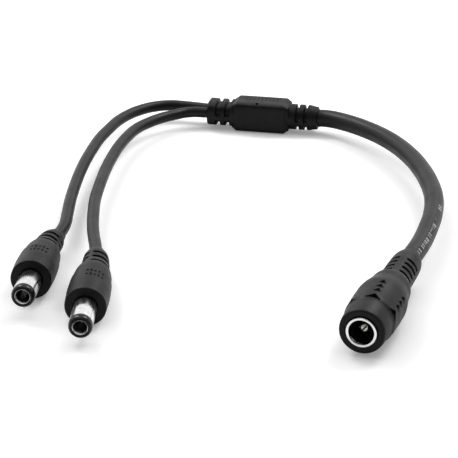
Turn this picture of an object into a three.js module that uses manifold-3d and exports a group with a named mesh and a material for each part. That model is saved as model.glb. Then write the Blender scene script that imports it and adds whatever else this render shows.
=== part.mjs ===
// Moulded DC power splitter lead: one inline barrel socket, a Y junction and two barrel plugs.
// Millimetres, +Z up. The lead lies on the plane z = 0. Each connector has its own frame: +Y runs
// from its mouth to its cable, +Z is up and angles about the axis start at +Z and turn towards +X.
import * as THREE from 'three';
import { mergeVertices } from 'three/addons/utils/BufferGeometryUtils.js';
import Module from 'manifold-3d';

const wasm = await Module();
wasm.setup();

// Looks
const LOOKS = {
  rubber: { color: 0x1b1b1d, roughness: 0.55, metalness: 0 },
  hardMould: { color: 0x26262a, roughness: 0.5, metalness: 0 },
  jacket: { color: 0x161617, roughness: 0.5, metalness: 0 },
  gloss: { color: 0x111113, roughness: 0.25, metalness: 0 },
  nickel: { color: 0xc8c8c6, roughness: 0.22, metalness: 1 },
  contact: { color: 0xb9b3a2, roughness: 0.3, metalness: 1 },
  solder: { color: 0xa7a9ab, roughness: 0.4, metalness: 1 },
  red: { color: 0x8c2020, roughness: 0.55, metalness: 0 },
  black: { color: 0x0f0f10, roughness: 0.55, metalness: 0 },
};

// Fits
const FIT = 0.15;
const MOULD_FIT = 0.2;
const JOINT_GAP = 0.15;
const REACH = 1.5;
const RIM_CHAMFER = 0.1;
const WIRE_LEAD = 0.5;
const QUARTER_TURN = 90;

// Round sections
const BODY_SEGMENTS = 20;
const METAL_SEGMENTS = 16;
const SMALL_SEGMENTS = 12;
const BORE_SIDES = 10;
const ARC_STEP = 18;
const CORNER_STEPS = 4;
const BEAD_STEPS = 2;
const BEAD_SIDES = 8;

// Cables
const TRUNK = { radius: 2.5, bore: 2.0, wire: 0.85, spread: 0.95, sides: 12, wireSides: 6 };
const BRANCH = { radius: 1.55, bore: 1.2, wire: 0.48, spread: 0.55, sides: 8, wireSides: 6 };

// Stations of a cable that lie inside each moulding
const WAY_STATIONS = { plug: 6, socket: 4, junction: 3 };

// Plug, from its tip
const PLUG = {
  sleeveRadius: 2.75,
  sleeveWall: 0.35,
  sleeveEnd: 16.0,
  collarRadius: 2.78,
  collarLength: 1.9,
  noseRadius: 2.15,
  noseRoundLength: 0.4,
  noseRoundRadius: 2.6,
  noseLength: 1.1,
  contactBore: 1.28,
  contactWall: 0.3,
  flareRadius: 1.88,
  flareLength: 1.2,
  flareRecess: 0.25,
  contactDepth: 14.5,
  contactEnd: 16.9,
  tagStart: 16.15,
  tagThickness: 0.45,
  tailEnd: 21.8,
  tailThickness: 0.4,
  tailWidth: 1.6,
  faceAt: 10.8,
  mouldStart: 12.0,
  mouldRadius: 3.6,
  mouldEnd: 27.0,
  mouldEndRadius: 3.1,
  mouldRearWall: 2.0,
  solderLength: 1.8,
  solderRadius: 0.5,
  wireEndOffset: 0.95,
  tagWireOffset: 0.45,
  jacketStart: 25.6,
  flexStart: 28.5,
  cableStations: [32.5, 36.5, 40.5],
  end: 41.5,
};

// Outer surface of a plug body behind its face: [distance from the tip, radius]
const PLUG_BODY = [
  [10.8, 4.6], [11.2, 4.87], [13.6, 4.98], [16.4, 5.08], [19.0, 5.0], [22.4, 4.88], [22.8, 4.78],
  [25.7, 4.6], [27.0, 4.38], [29.6, 3.75], [31.2, 3.42], [34.0, 3.28], [36.6, 3.05], [38.0, 2.65],
  [39.4, 2.3], [41.5, 1.95],
];
const PLUG_GROOVES = { places: [28.3, 31.7, 34.5], width: 1.1, depth: 0.8, spine: 18 };
const PLUG_MARKS = { places: [17.0, 18.7, 20.4], length: 0.8, halfWidth: 1.1, depth: 0.25, angle: 8 };

// Socket, from its rubber face
const SOCKET = {
  ringRadius: 3.62,
  ringBore: 2.9,
  ringProud: 0.45,
  ringDepth: 0.8,
  shellWall: 0.36,
  shellEnd: 14.0,
  linerBore: 2.85,
  floorStart: 11.0,
  pinStart: 1.8,
  pinSlot: 0.36,
  pinSlotLength: 4.0,
  pinSlotAngle: 40,
  pinClearance: 0.06,
  pinChamfer: 0.35,
  pinRear: 0.5,
  leafStart: 3.0,
  leafThickness: 0.3,
  leafWidth: 1.6,
  leafInset: 0.35,
  tailEnd: 16.5,
  tailThickness: 0.45,
  tailWidth: 2.0,
  tailOffset: 0.95,
  mouldStart: 3.0,
  mouldRadius: 4.5,
  mouldEnd: 22.6,
  mouldEndRadius: 3.7,
  mouldTaperStart: 18.0,
  mouldRearWall: 2.0,
  mouldCavityWall: 0.5,
  mouldCavityTaper: 1.0,
  solderLength: 1.7,
  solderRadius: 0.7,
  pinWireOffset: 0.3,
  leafSolderOffset: 0.35,
  leafWireOffset: 0.6,
  jacketStart: 21.2,
  cableStations: [36.0, 28.0],
  end: 43.2,
};

// Outer surface of the socket body: [distance from the face, radius]
const SOCKET_BODY = [
  [0, 5.2], [0.8, 5.4], [4.7, 5.6], [5.0, 5.98], [7.6, 6.0], [12.0, 6.1], [16.0, 6.1], [18.0, 5.9],
  [20.0, 5.5], [22.0, 5.2], [22.3, 5.12], [24.5, 4.93], [25.5, 4.7], [26.4, 4.33], [27.0, 4.05],
  [27.5, 3.98], [38.8, 3.7], [41.0, 3.4], [42.5, 3.1], [43.2, 2.95],
];
const SOCKET_SLOTS = {
  places: [27.6, 30.2, 32.7, 35.1], width: 0.85, depth: 0.75, half: 31, first: 51, count: 4,
};
const GRIP = {
  rows: 6, first: 7, depth: 0.38,
  arrowBase: 5.6, arrowTail: 0.7, arrowTip: 8.3, arrowWaist: 6.9, arrowWaistHalf: 0.75, arrowHalf: 1.75,
};
const GRIP_MARKS = { places: [10.5, 12.8, 15.2], length: 1.4, half: 0.8, depth: 0.4 };

// Junction, from the end of its branch strain relief
const JUNCTION = {
  length: 32.05,
  blockStart: 7.33,
  blockEnd: 23.72,
  blockWidth: 9.0,
  blockHeight: 8.7,
  blockEdge: 1.1,
  endBevel: 0.9,
  branchWidth: 8.7,
  branchHeight: 7.0,
  branchFlat: 0.15,
  trunkRadius: 3.65,
  trunkEndRadius: 3.3,
  trunkTaper: 2.5,
  trunkDraft: 0.1,
  trunkTipLength: 0.6,
  trunkTipRound: 0.25,
  branchPitch: 3.3,
  cavityStart: 8.5,
  cavityEnd: 22.5,
  cavityWidth: 7.4,
  cavityHeight: 5.2,
  crimpStart: 14.5,
  crimpEnd: 18.5,
  crimpRadius: 1.15,
  crimpOffset: 1.85,
  shrinkOverlap: 0.8,
  shrinkWall: 0.28,
  branchJacketEnd: 9.0,
  branchStation: 4.5,
  trunkJacketStart: 22.0,
  trunkStation: 27.0,
  branchWireStart: 0.3,
  branchWireShares: [0.25, 0.5, 0.75],
  branchWireRun: 0.85,
  branchWireLanding: 0.6,
  branchWireLift: 0.95,
  trunkWireLead: 0.8,
};
const BRANCH_GROOVES = { places: [3.2, 5.9], width: 1.2, depth: 0.75, spine: 1.4 };
const TRUNK_GROOVES = { places: [26.2, 28.6], width: 0.85, depth: 0.8, spine: 24 };

// Where each connector lies: tip or face centre, turn about Z from +Y towards +X, and tilt
const PLACES = {
  plugA: { at: [-44.85, -58.69, 5.66], yaw: 5.2, pitch: -2.0, flex: 13.5, spineAngle: 62 },
  plugB: { at: [-30.68, -73.33, 4.65], yaw: 2.9, pitch: 1.5, flex: -8.0, spineAngle: -18 },
  socket: { at: [31.9, -78.33, 6.1], yaw: 18.9, pitch: 0, flex: 0 },
  junction: { at: [-3.02, 75.76, JUNCTION.blockHeight / 2], turn: -11.83 },
};

// Free runs of the three cables, point by point
const TRUNK_ROUTE = [
  [29.6, 69.0, 4.4], [32.0, 67.6, 4.6], [34.4, 65.4, 4.8], [38.0, 61.0, 5.2], [41.9, 55.5, 5.5],
  [45.5, 49.2, 5.8], [48.8, 41.8, 6.0], [51.5, 33.4, 6.2], [53.6, 23.8, 6.3], [54.9, 13.3, 6.4],
  [55.2, 2.4, 6.4], [54.0, -8.9, 6.3], [51.8, -19.0, 6.2], [49.3, -27.9, 6.1],
];
const ROUTE_A = [
  [-38.6, -12.0, 4.4], [-38.4, -5.0, 4.6], [-38.3, 2.7, 4.8], [-38.0, 10.5, 4.9], [-37.5, 18.6, 5.0],
  [-36.8, 26.7, 5.1], [-35.8, 34.8, 5.2], [-34.6, 42.8, 5.2], [-33.1, 50.7, 5.2], [-31.1, 58.2, 5.1],
  [-28.9, 64.9, 5.1], [-26.4, 70.1, 5.0], [-23.4, 74.4, 4.9], [-19.4, 78.2, 4.7], [-14.6, 80.2, 4.5],
  [-9.2, 79.4, 4.4],
];
const ROUTE_B = [
  [-30.0, -27.0, 5.6], [-30.8, -20.4, 5.5], [-31.4, -13.2, 5.5], [-31.7, -5.5, 5.5], [-31.8, 2.8, 5.5],
  [-31.4, 11.1, 5.4], [-30.8, 19.5, 5.4], [-30.0, 28.0, 5.3], [-28.9, 36.4, 5.2], [-27.5, 44.6, 5.1],
  [-25.6, 52.3, 5.0], [-23.3, 59.0, 4.9], [-20.4, 64.2, 4.7], [-17.1, 68.3, 4.6], [-13.4, 71.5, 4.5],
  [-8.6, 74.4, 4.4],
];

const degrees = THREE.MathUtils.degToRad;

// Closed, welded geometry with its faces pointing out
function weld(source) {
  const geometry = source.index ? source.clone() : source;
  geometry.deleteAttribute('normal');
  geometry.deleteAttribute('uv');
  const merged = mergeVertices(geometry, 1e-3);
  const position = merged.attributes.position;
  const index = [];
  const corners = [new THREE.Vector3(), new THREE.Vector3(), new THREE.Vector3()];
  let volume = 0;
  for (let i = 0; i < merged.index.count; i += 3) {
    const ids = [0, 1, 2].map((k) => merged.index.getX(i + k));
    if (ids[0] === ids[1] || ids[1] === ids[2] || ids[0] === ids[2]) continue;
    index.push(...ids);
    ids.forEach((id, k) => corners[k].fromBufferAttribute(position, id));
    volume += corners[0].dot(corners[1].clone().cross(corners[2]));
  }
  if (volume < 0) {
    for (let i = 0; i < index.length; i += 3) {
      [index[i + 1], index[i + 2]] = [index[i + 2], index[i + 1]];
    }
  }
  merged.setIndex(index);
  return merged;
}

function solidOf(geometry) {
  const closed = weld(geometry);
  return new wasm.Manifold(new wasm.Mesh({
    numProp: 3,
    vertProperties: new Float32Array(closed.attributes.position.array),
    triVerts: new Uint32Array(closed.index.array),
  }));
}

function geometryOf(solid) {
  const mesh = solid.getMesh();
  const geometry = new THREE.BufferGeometry();
  geometry.setAttribute('position', new THREE.BufferAttribute(new Float32Array(mesh.vertProperties), 3));
  geometry.setIndex(new THREE.BufferAttribute(new Uint32Array(mesh.triVerts), 1));
  return geometry;
}

function cut(geometry, tools) {
  const body = tools.reduce((left, tool) => left.subtract(solidOf(tool)), solidOf(geometry));
  return geometryOf(body);
}

function join(geometries) {
  const [first, ...others] = geometries.map(solidOf);
  return geometryOf(others.reduce((sum, next) => sum.add(next), first));
}

// Turned shape about +Y from [distance, radius] points that begin and end on the axis, or close
function turned(profile, segments) {
  const points = profile.map(([along, radius]) => new THREE.Vector2(radius, along));
  return weld(new THREE.LatheGeometry(points, segments));
}

function tube(start, end, inner, outer, segments) {
  return turned([[start, inner], [start, outer], [end, outer], [end, inner], [start, inner]], segments);
}

function rod(start, end, radius, segments) {
  return turned([[start, 0], [start, radius], [end, radius], [end, 0]], segments);
}

function box(from, to) {
  const size = to.map((value, i) => value - from[i]);
  const geometry = new THREE.BoxGeometry(...size);
  return geometry.translate(...from.map((value, i) => value + size[i] / 2));
}

// Block between two distances along +Y that spans part of a turn around the axis
function sector(start, end, inner, outer, middle, half) {
  const low = degrees(middle - half);
  const high = degrees(middle + half);
  const shape = new THREE.Shape();
  shape.absarc(0, 0, outer, low, high, false);
  shape.absarc(0, 0, inner, high, low, true);
  shape.closePath();
  const options = { depth: end - start, bevelEnabled: false, curveSegments: Math.ceil(2 * half / ARC_STEP) };
  const geometry = new THREE.ExtrudeGeometry(shape, options);
  const turn = new THREE.Matrix4().makeBasis(
    new THREE.Vector3(0, 0, 1), new THREE.Vector3(1, 0, 0), new THREE.Vector3(0, 1, 0));
  return geometry.applyMatrix4(turn).translate(0, start, 0);
}

// Prism of a flat outline that stands on the turned surface at one angle and reaches outwards
function stud(outline, angle, inner) {
  const shape = new THREE.Shape(outline.map(([across, along]) => new THREE.Vector2(across, along)));
  const geometry = new THREE.ExtrudeGeometry(shape, { depth: REACH, bevelEnabled: false });
  const turn = degrees(angle);
  const radial = new THREE.Vector3(Math.sin(turn), 0, Math.cos(turn));
  const across = new THREE.Vector3(Math.cos(turn), 0, -Math.sin(turn));
  geometry.applyMatrix4(new THREE.Matrix4().makeBasis(across, new THREE.Vector3(0, 1, 0), radial));
  return geometry.translate(...radial.multiplyScalar(inner).toArray());
}

function radiusAt(profile, along) {
  const next = Math.max(1, profile.findIndex(([place]) => place >= along));
  const [[a, low], [b, high]] = [profile[next - 1], profile[next]];
  return low + (high - low) * (along - a) / (b - a);
}

// Polyline whose stations a swept section keeps, with the tangents of the whole line
class StationPath extends THREE.Curve {
  constructor(points, first = 0, last = points.length - 1) {
    super();
    this.points = points;
    this.first = first;
    this.count = last - first;
  }

  getPointAt(t) {
    return this.points[this.first + Math.round(t * this.count)].clone();
  }

  getTangentAt(t) {
    const i = this.first + Math.round(t * this.count);
    const before = this.points[Math.max(0, i - 1)];
    const after = this.points[Math.min(this.points.length - 1, i + 1)];
    return after.clone().sub(before).normalize();
  }

  getSpacedPoints(divisions) {
    return Array.from({ length: divisions + 1 }, (_, i) => this.getPointAt(i / divisions));
  }
}

function swept(path, radius, sides, bore = 0) {
  const ring = (size) => Array.from({ length: sides }, (_, i) => {
    const turn = 2 * Math.PI * (i + 0.5) / sides;
    return new THREE.Vector2(size * Math.cos(turn), size * Math.sin(turn));
  });
  const shape = new THREE.Shape(ring(radius));
  if (bore > 0) shape.holes.push(new THREE.Path(ring(bore)));
  const options = { steps: path.count, extrudePath: path, bevelEnabled: false };
  return weld(new THREE.ExtrudeGeometry(shape, options));
}

// Centre line of a plug's bent strain relief
function flexed(along, flex) {
  const angle = degrees(flex);
  const run = PLUG.end - PLUG.flexStart;
  const past = Math.max(0, along - PLUG.flexStart);
  const bent = Math.min(past, run);
  const turn = angle * bent / run;
  const arc = angle === 0 ? [0, bent] : [run / angle * (1 - Math.cos(turn)), run / angle * Math.sin(turn)];
  const rest = past - bent;
  const point = new THREE.Vector3(
    arc[0] + rest * Math.sin(turn), Math.min(along, PLUG.flexStart) + arc[1] + rest * Math.cos(turn), 0);
  return { point, turn };
}

function bend(geometry, flex) {
  const position = geometry.attributes.position;
  for (let i = 0; i < position.count; i += 1) {
    const { point, turn } = flexed(position.getY(i), flex);
    const across = position.getX(i);
    position.setXY(i, point.x + across * Math.cos(turn), point.y - across * Math.sin(turn));
  }
  return geometry;
}

function framed(place) {
  const group = new THREE.Group();
  group.position.set(...place.at);
  group.rotation.set(degrees(place.pitch), 0, degrees(-place.yaw), 'ZYX');
  group.updateMatrixWorld(true);
  return group;
}

function piece(name, geometry, look) {
  const mesh = new THREE.Mesh(weld(geometry), new THREE.MeshStandardMaterial(LOOKS[look]));
  mesh.name = name;
  return mesh;
}

const frames = {
  plugA: framed(PLACES.plugA),
  plugB: framed(PLACES.plugB),
  socket: framed(PLACES.socket),
  junction: new THREE.Group(),
};
frames.junction.position.set(...PLACES.junction.at);
frames.junction.rotation.set(0, 0, degrees(PLACES.junction.turn));
frames.junction.updateMatrixWorld(true);

const branchSide = { plugA: 1, plugB: -1 };
const inFrame = (frame, points) => points.map((point) => point.clone().applyMatrix4(frame.matrixWorld));
const asVectors = (points) => points.map((point) => new THREE.Vector3(...point));

// Stations of a branch cable, from inside its plug to inside the junction
function branchStations(side) {
  const { flex } = PLACES[side];
  const alongPlug = [PLUG.jacketStart, PLUG.flexStart, ...PLUG.cableStations];
  const inPlug = alongPlug.map((along) => flexed(along, flex).point);
  const offset = branchSide[side] * JUNCTION.branchPitch / 2;
  const alongJunction = [0, JUNCTION.branchStation, JUNCTION.branchJacketEnd];
  const inJunction = alongJunction.map((along) => new THREE.Vector3(along, offset, 0));
  return [
    ...inFrame(frames[side], inPlug),
    ...asVectors(side === 'plugA' ? ROUTE_A : ROUTE_B),
    ...inFrame(frames.junction, inJunction),
  ];
}

function trunkStations() {
  const alongJunction = [JUNCTION.trunkJacketStart, JUNCTION.trunkStation, JUNCTION.length];
  const alongSocket = [SOCKET.end, ...SOCKET.cableStations, SOCKET.jacketStart];
  const inJunction = alongJunction.map((along) => new THREE.Vector3(along, 0, 0));
  const inSocket = alongSocket.map((along) => new THREE.Vector3(0, along, 0));
  return [
    ...inFrame(frames.junction, inJunction),
    ...asVectors(TRUNK_ROUTE),
    ...inFrame(frames.socket, inSocket),
  ];
}

const cables = { plugA: branchStations('plugA'), plugB: branchStations('plugB'), trunk: trunkStations() };

// Line beside a cable's centre line, to its left where the offset is positive
function beside(stations, offset) {
  const path = new StationPath(stations);
  return stations.map((point, i) => {
    const along = path.getTangentAt(i / path.count);
    const left = new THREE.Vector3(0, 0, 1).cross(along).normalize();
    return point.clone().addScaledVector(left, offset);
  });
}

// Tool that clears a cable's way through a moulding, in the moulding's own frame
function cableWay(stations, first, last, frame, radius) {
  const back = frame.matrixWorld.clone().invert();
  const local = stations.map((point) => point.clone().applyMatrix4(back));
  return swept(new StationPath(local, first, last), radius + MOULD_FIT, BORE_SIDES);
}

// Plug

function plugOvermould(side) {
  const { flex, spineAngle } = PLACES[side];
  const body = turned([[PLUG_BODY[0][0], 0], ...PLUG_BODY, [PLUG.end, 0]], BODY_SEGMENTS);
  const half = QUARTER_TURN - PLUG_GROOVES.spine / 2;
  const grooves = PLUG_GROOVES.places.flatMap((place) => [QUARTER_TURN, -QUARTER_TURN].map((turn) => {
    const inner = radiusAt(PLUG_BODY, place) - PLUG_GROOVES.depth;
    const start = place - PLUG_GROOVES.width / 2;
    return sector(start, start + PLUG_GROOVES.width, inner, inner + 2 * REACH, spineAngle + turn, half);
  }));
  const marks = PLUG_MARKS.places.map((start) => stud([
    [-PLUG_MARKS.halfWidth, start], [PLUG_MARKS.halfWidth, start],
    [PLUG_MARKS.halfWidth, start + PLUG_MARKS.length], [-PLUG_MARKS.halfWidth, start + PLUG_MARKS.length],
  ], PLUG_MARKS.angle, radiusAt(PLUG_BODY, start) - PLUG_MARKS.depth));
  const bent = bend(cut(body, [...grooves, ...marks]), flex);
  const seat = mouldOutline(PLUG.mouldStart - FIT, PLUG.mouldEnd + FIT, FIT);
  return cut(bent, [
    turned([[PLUG.mouldStart - FIT, 0], ...seat, [PLUG.mouldEnd + FIT, 0]], METAL_SEGMENTS),
    rod(PLUG.faceAt - REACH, PLUG.mouldStart, PLUG.sleeveRadius + FIT, METAL_SEGMENTS),
    cableWay(cables[side], 0, WAY_STATIONS.plug, frames[side], BRANCH.radius),
  ]);
}

function mouldOutline(start, end, grow) {
  const taperStart = PLUG.mouldEnd - PLUG.mouldRearWall;
  return [
    [start, PLUG.mouldRadius + grow], [taperStart, PLUG.mouldRadius + grow],
    [end, PLUG.mouldEndRadius + grow],
  ];
}

function plugInnerMould() {
  const bore = PLUG.sleeveRadius + FIT;
  const rear = PLUG.mouldEnd - PLUG.mouldRearWall;
  const way = BRANCH.radius + MOULD_FIT;
  return turned([
    [PLUG.mouldStart, bore], ...mouldOutline(PLUG.mouldStart, PLUG.mouldEnd, 0),
    [PLUG.mouldEnd, way], [rear, way], [rear, bore], [PLUG.mouldStart, bore],
  ], METAL_SEGMENTS);
}

function plugSleeve() {
  const start = PLUG.collarLength + FIT;
  return tube(start, PLUG.sleeveEnd, PLUG.sleeveRadius - PLUG.sleeveWall, PLUG.sleeveRadius, METAL_SEGMENTS);
}

function plugInsulator() {
  const outer = PLUG.sleeveRadius - PLUG.sleeveWall - FIT;
  const inner = PLUG.contactBore + PLUG.contactWall + FIT;
  const mouth = PLUG.flareRadius + FIT;
  const throat = PLUG.flareLength + PLUG.flareRecess;
  return turned([
    [0, mouth], [0, PLUG.noseRadius], [PLUG.noseRoundLength, PLUG.noseRoundRadius],
    [PLUG.noseLength, PLUG.collarRadius],
    [PLUG.collarLength, PLUG.collarRadius], [PLUG.collarLength, outer], [PLUG.sleeveEnd - FIT, outer],
    [PLUG.sleeveEnd - FIT, inner], [throat, inner], [PLUG.flareRecess, mouth], [0, mouth],
  ], METAL_SEGMENTS);
}

function plugContact() {
  const outer = PLUG.contactBore + PLUG.contactWall;
  const throat = PLUG.flareRecess + PLUG.flareLength;
  const barrel = turned([
    [PLUG.contactDepth, 0], [PLUG.contactDepth, PLUG.contactBore], [throat, PLUG.contactBore],
    [PLUG.flareRecess, PLUG.flareRadius - RIM_CHAMFER], [PLUG.flareRecess, PLUG.flareRadius],
    [throat, outer], [PLUG.contactEnd, outer], [PLUG.contactEnd, 0],
  ], SMALL_SEGMENTS);
  const tail = box(
    [PLUG.wireEndOffset - PLUG.tailThickness / 2, PLUG.contactEnd - PLUG.tailThickness, -PLUG.tailWidth / 2],
    [PLUG.wireEndOffset + PLUG.tailThickness / 2, PLUG.tailEnd, PLUG.tailWidth / 2]);
  return join([barrel, tail]);
}

function plugTag() {
  const inner = PLUG.contactBore + PLUG.contactWall + FIT;
  const outer = PLUG.sleeveRadius - RIM_CHAMFER;
  const ring = tube(PLUG.tagStart, PLUG.tagStart + PLUG.tagThickness, inner, outer, METAL_SEGMENTS);
  const tab = box(
    [-inner - PLUG.tailThickness, PLUG.tagStart, -PLUG.tailWidth / 2],
    [-inner, PLUG.tailEnd, PLUG.tailWidth / 2]);
  return join([ring, tab]);
}

function solderJoint(length, radius, across, start) {
  const bead = new THREE.CapsuleGeometry(radius, length - 2 * radius, BEAD_STEPS, BEAD_SIDES);
  return bead.translate(across, start + length / 2, 0);
}

const plugTagAcross = -(PLUG.contactBore + PLUG.contactWall + FIT + PLUG.tailThickness / 2);

function plug(side, name) {
  const group = frames[side];
  const solderStart = PLUG.tailEnd + JOINT_GAP;
  const solder = (across) => solderJoint(PLUG.solderLength, PLUG.solderRadius, across, solderStart);
  group.add(
    piece(`${name}_overmould`, plugOvermould(side), 'rubber'),
    piece(`${name}_inner_mould`, plugInnerMould(), 'hardMould'),
    piece(`${name}_sleeve`, plugSleeve(), 'nickel'),
    piece(`${name}_insulator`, plugInsulator(), 'gloss'),
    piece(`${name}_centre_contact`, plugContact(), 'contact'),
    piece(`${name}_sleeve_tag`, plugTag(), 'nickel'),
    piece(`${name}_solder_positive`, solder(PLUG.wireEndOffset), 'solder'),
    piece(`${name}_solder_negative`, solder(plugTagAcross), 'solder'),
  );
  return group;
}

// Socket

const pinRadius = PLUG.contactBore - SOCKET.pinClearance;
const linerRadius = SOCKET.ringRadius - SOCKET.shellWall - FIT;
const leafAcross = SOCKET.linerBore - SOCKET.leafInset;

function gripPockets() {
  const { arrowBase, arrowTail, arrowTip, arrowWaist, arrowWaistHalf, arrowHalf } = GRIP;
  const arrow = [
    [-arrowHalf, arrowBase + arrowTail], [-arrowWaistHalf, arrowWaist], [0, arrowTip],
    [arrowWaistHalf, arrowWaist], [arrowHalf, arrowBase + arrowTail],
    [arrowHalf, arrowBase - REACH / 2], [-arrowHalf, arrowBase - REACH / 2],
  ].reverse();
  const mark = (start) => [
    [-GRIP_MARKS.half, start], [GRIP_MARKS.half, start], [0, start + GRIP_MARKS.length],
  ];
  const angles = Array.from({ length: GRIP.rows }, (_, row) => GRIP.first + row * 360 / GRIP.rows);
  return angles.flatMap((angle) => [
    stud(arrow, angle, radiusAt(SOCKET_BODY, arrowTip) - GRIP.depth),
    ...GRIP_MARKS.places.map((middle) => {
      const start = middle - GRIP_MARKS.length / 2;
      return stud(mark(start), angle, radiusAt(SOCKET_BODY, middle) - GRIP_MARKS.depth);
    }),
  ]);
}

function reliefSlots() {
  return SOCKET_SLOTS.places.flatMap((place) => Array.from({ length: SOCKET_SLOTS.count }, (_, i) => {
    const inner = radiusAt(SOCKET_BODY, place) - SOCKET_SLOTS.depth;
    const start = place - SOCKET_SLOTS.width / 2;
    const middle = SOCKET_SLOTS.first + i * 360 / SOCKET_SLOTS.count;
    return sector(start, start + SOCKET_SLOTS.width, inner, inner + 2 * REACH, middle, SOCKET_SLOTS.half);
  }));
}

function socketMouldOutline(grow) {
  return [
    [SOCKET.mouldStart - grow, SOCKET.mouldRadius + grow],
    [SOCKET.mouldTaperStart, SOCKET.mouldRadius + grow],
    [SOCKET.mouldEnd + grow, SOCKET.mouldEndRadius + grow],
  ];
}

function socketOvermould() {
  const body = turned([[0, 0], ...SOCKET_BODY, [SOCKET.end, 0]], BODY_SEGMENTS);
  const seat = [[SOCKET.mouldStart - FIT, 0], ...socketMouldOutline(FIT), [SOCKET.mouldEnd + FIT, 0]];
  const last = cables.trunk.length - 1;
  return cut(body, [
    ...gripPockets(),
    ...reliefSlots(),
    turned(seat, METAL_SEGMENTS),
    rod(-REACH, SOCKET.mouldStart, SOCKET.ringRadius + FIT, METAL_SEGMENTS),
    cableWay(cables.trunk, last - WAY_STATIONS.socket, last, frames.socket, TRUNK.radius),
  ]);
}

function socketInnerMould() {
  const bore = SOCKET.ringRadius + FIT;
  const rear = SOCKET.mouldEnd - SOCKET.mouldRearWall;
  const way = TRUNK.radius + MOULD_FIT;
  const cavity = SOCKET.mouldEndRadius - SOCKET.mouldCavityWall;
  return turned([
    [SOCKET.mouldStart, bore], ...socketMouldOutline(0), [SOCKET.mouldEnd, way], [rear, way],
    [rear, cavity], [SOCKET.mouldTaperStart, cavity],
    [SOCKET.mouldTaperStart - SOCKET.mouldCavityTaper, bore],
    [SOCKET.mouldStart, bore],
  ], METAL_SEGMENTS);
}

function socketShell() {
  const bore = SOCKET.ringRadius - SOCKET.shellWall;
  return turned([
    [-SOCKET.ringProud, SOCKET.ringBore], [-SOCKET.ringProud, SOCKET.ringRadius - RIM_CHAMFER],
    [-SOCKET.ringProud + RIM_CHAMFER, SOCKET.ringRadius], [SOCKET.shellEnd, SOCKET.ringRadius],
    [SOCKET.shellEnd, bore], [SOCKET.ringDepth, bore], [SOCKET.ringDepth, SOCKET.ringBore],
    [-SOCKET.ringProud, SOCKET.ringBore],
  ], METAL_SEGMENTS);
}

function socketInsert() {
  const start = SOCKET.ringDepth + FIT;
  const cup = turned([
    [start, SOCKET.linerBore], [start, linerRadius], [SOCKET.shellEnd, linerRadius],
    [SOCKET.shellEnd, pinRadius + FIT], [SOCKET.floorStart, pinRadius + FIT],
    [SOCKET.floorStart, SOCKET.linerBore], [start, SOCKET.linerBore],
  ], METAL_SEGMENTS);
  const slot = box(
    [leafAcross - FIT, SOCKET.leafStart - FIT, -SOCKET.leafWidth / 2 - FIT],
    [leafAcross + SOCKET.leafThickness + FIT, SOCKET.shellEnd + REACH, SOCKET.leafWidth / 2 + FIT]);
  return cut(cup, [slot]);
}

function socketPin() {
  const point = SOCKET.pinChamfer;
  const rear = SOCKET.shellEnd + SOCKET.pinRear;
  const shank = turned([
    [SOCKET.pinStart, 0], [SOCKET.pinStart, pinRadius - point], [SOCKET.pinStart + point, pinRadius],
    [rear, pinRadius], [rear, 0],
  ], SMALL_SEGMENTS);
  const tail = box(
    [-SOCKET.tailOffset - SOCKET.tailThickness / 2, SOCKET.shellEnd, -SOCKET.tailWidth / 2],
    [-SOCKET.tailOffset + SOCKET.tailThickness / 2, SOCKET.tailEnd, SOCKET.tailWidth / 2]);
  const slot = box(
    [-SOCKET.pinSlot / 2, SOCKET.pinStart - REACH, -REACH],
    [SOCKET.pinSlot / 2, SOCKET.pinStart + SOCKET.pinSlotLength, REACH]);
  slot.rotateY(degrees(SOCKET.pinSlotAngle));
  return cut(join([shank, tail]), [slot]);
}

function socketLeaf() {
  const low = leafAcross;
  const high = leafAcross + SOCKET.leafThickness;
  return box(
    [low, SOCKET.leafStart, -SOCKET.leafWidth / 2],
    [high, SOCKET.tailEnd, SOCKET.leafWidth / 2]);
}

function socket() {
  const group = frames.socket;
  const solderStart = SOCKET.tailEnd + JOINT_GAP;
  const solder = (across) => solderJoint(SOCKET.solderLength, SOCKET.solderRadius, across, solderStart);
  group.add(
    piece('socket_overmould', socketOvermould(), 'rubber'),
    piece('socket_inner_mould', socketInnerMould(), 'hardMould'),
    piece('socket_shell', socketShell(), 'nickel'),
    piece('socket_insert', socketInsert(), 'gloss'),
    piece('socket_centre_pin', socketPin(), 'contact'),
    piece('socket_leaf_contact', socketLeaf(), 'contact'),
    piece('socket_solder_positive', solder(-SOCKET.tailOffset - SOCKET.pinWireOffset), 'solder'),
    piece('socket_solder_negative', solder(leafAcross - SOCKET.leafSolderOffset), 'solder'),
  );
  return group;
}

// Junction

// Bar along +X with a flat outline across it
function bar(outline, start, end, options = {}) {
  const depth = end - start;
  const geometry = new THREE.ExtrudeGeometry(outline, { depth, bevelEnabled: false, ...options });
  const turn = new THREE.Matrix4().makeBasis(
    new THREE.Vector3(0, 1, 0), new THREE.Vector3(0, 0, 1), new THREE.Vector3(1, 0, 0));
  return geometry.applyMatrix4(turn).translate(start, 0, 0);
}

function roundedOutline(width, height, edge, flat = false) {
  const [x, y] = [width / 2, height / 2];
  const shape = new THREE.Shape();
  shape.moveTo(-x + edge, -y);
  shape.lineTo(x - edge, -y);
  if (flat) shape.lineTo(x, -y + edge);
  else shape.absarc(x - edge, -y + edge, edge, -Math.PI / 2, 0, false);
  shape.lineTo(x, y - edge);
  if (flat) shape.lineTo(x - edge, y);
  else shape.absarc(x - edge, y - edge, edge, 0, Math.PI / 2, false);
  shape.lineTo(-x + edge, y);
  if (flat) shape.lineTo(-x, y - edge);
  else shape.absarc(-x + edge, y - edge, edge, Math.PI / 2, Math.PI, false);
  shape.lineTo(-x, -y + edge);
  if (flat) shape.lineTo(-x + edge, -y);
  else shape.absarc(-x + edge, -y + edge, edge, Math.PI, 1.5 * Math.PI, false);
  return shape;
}

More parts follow.
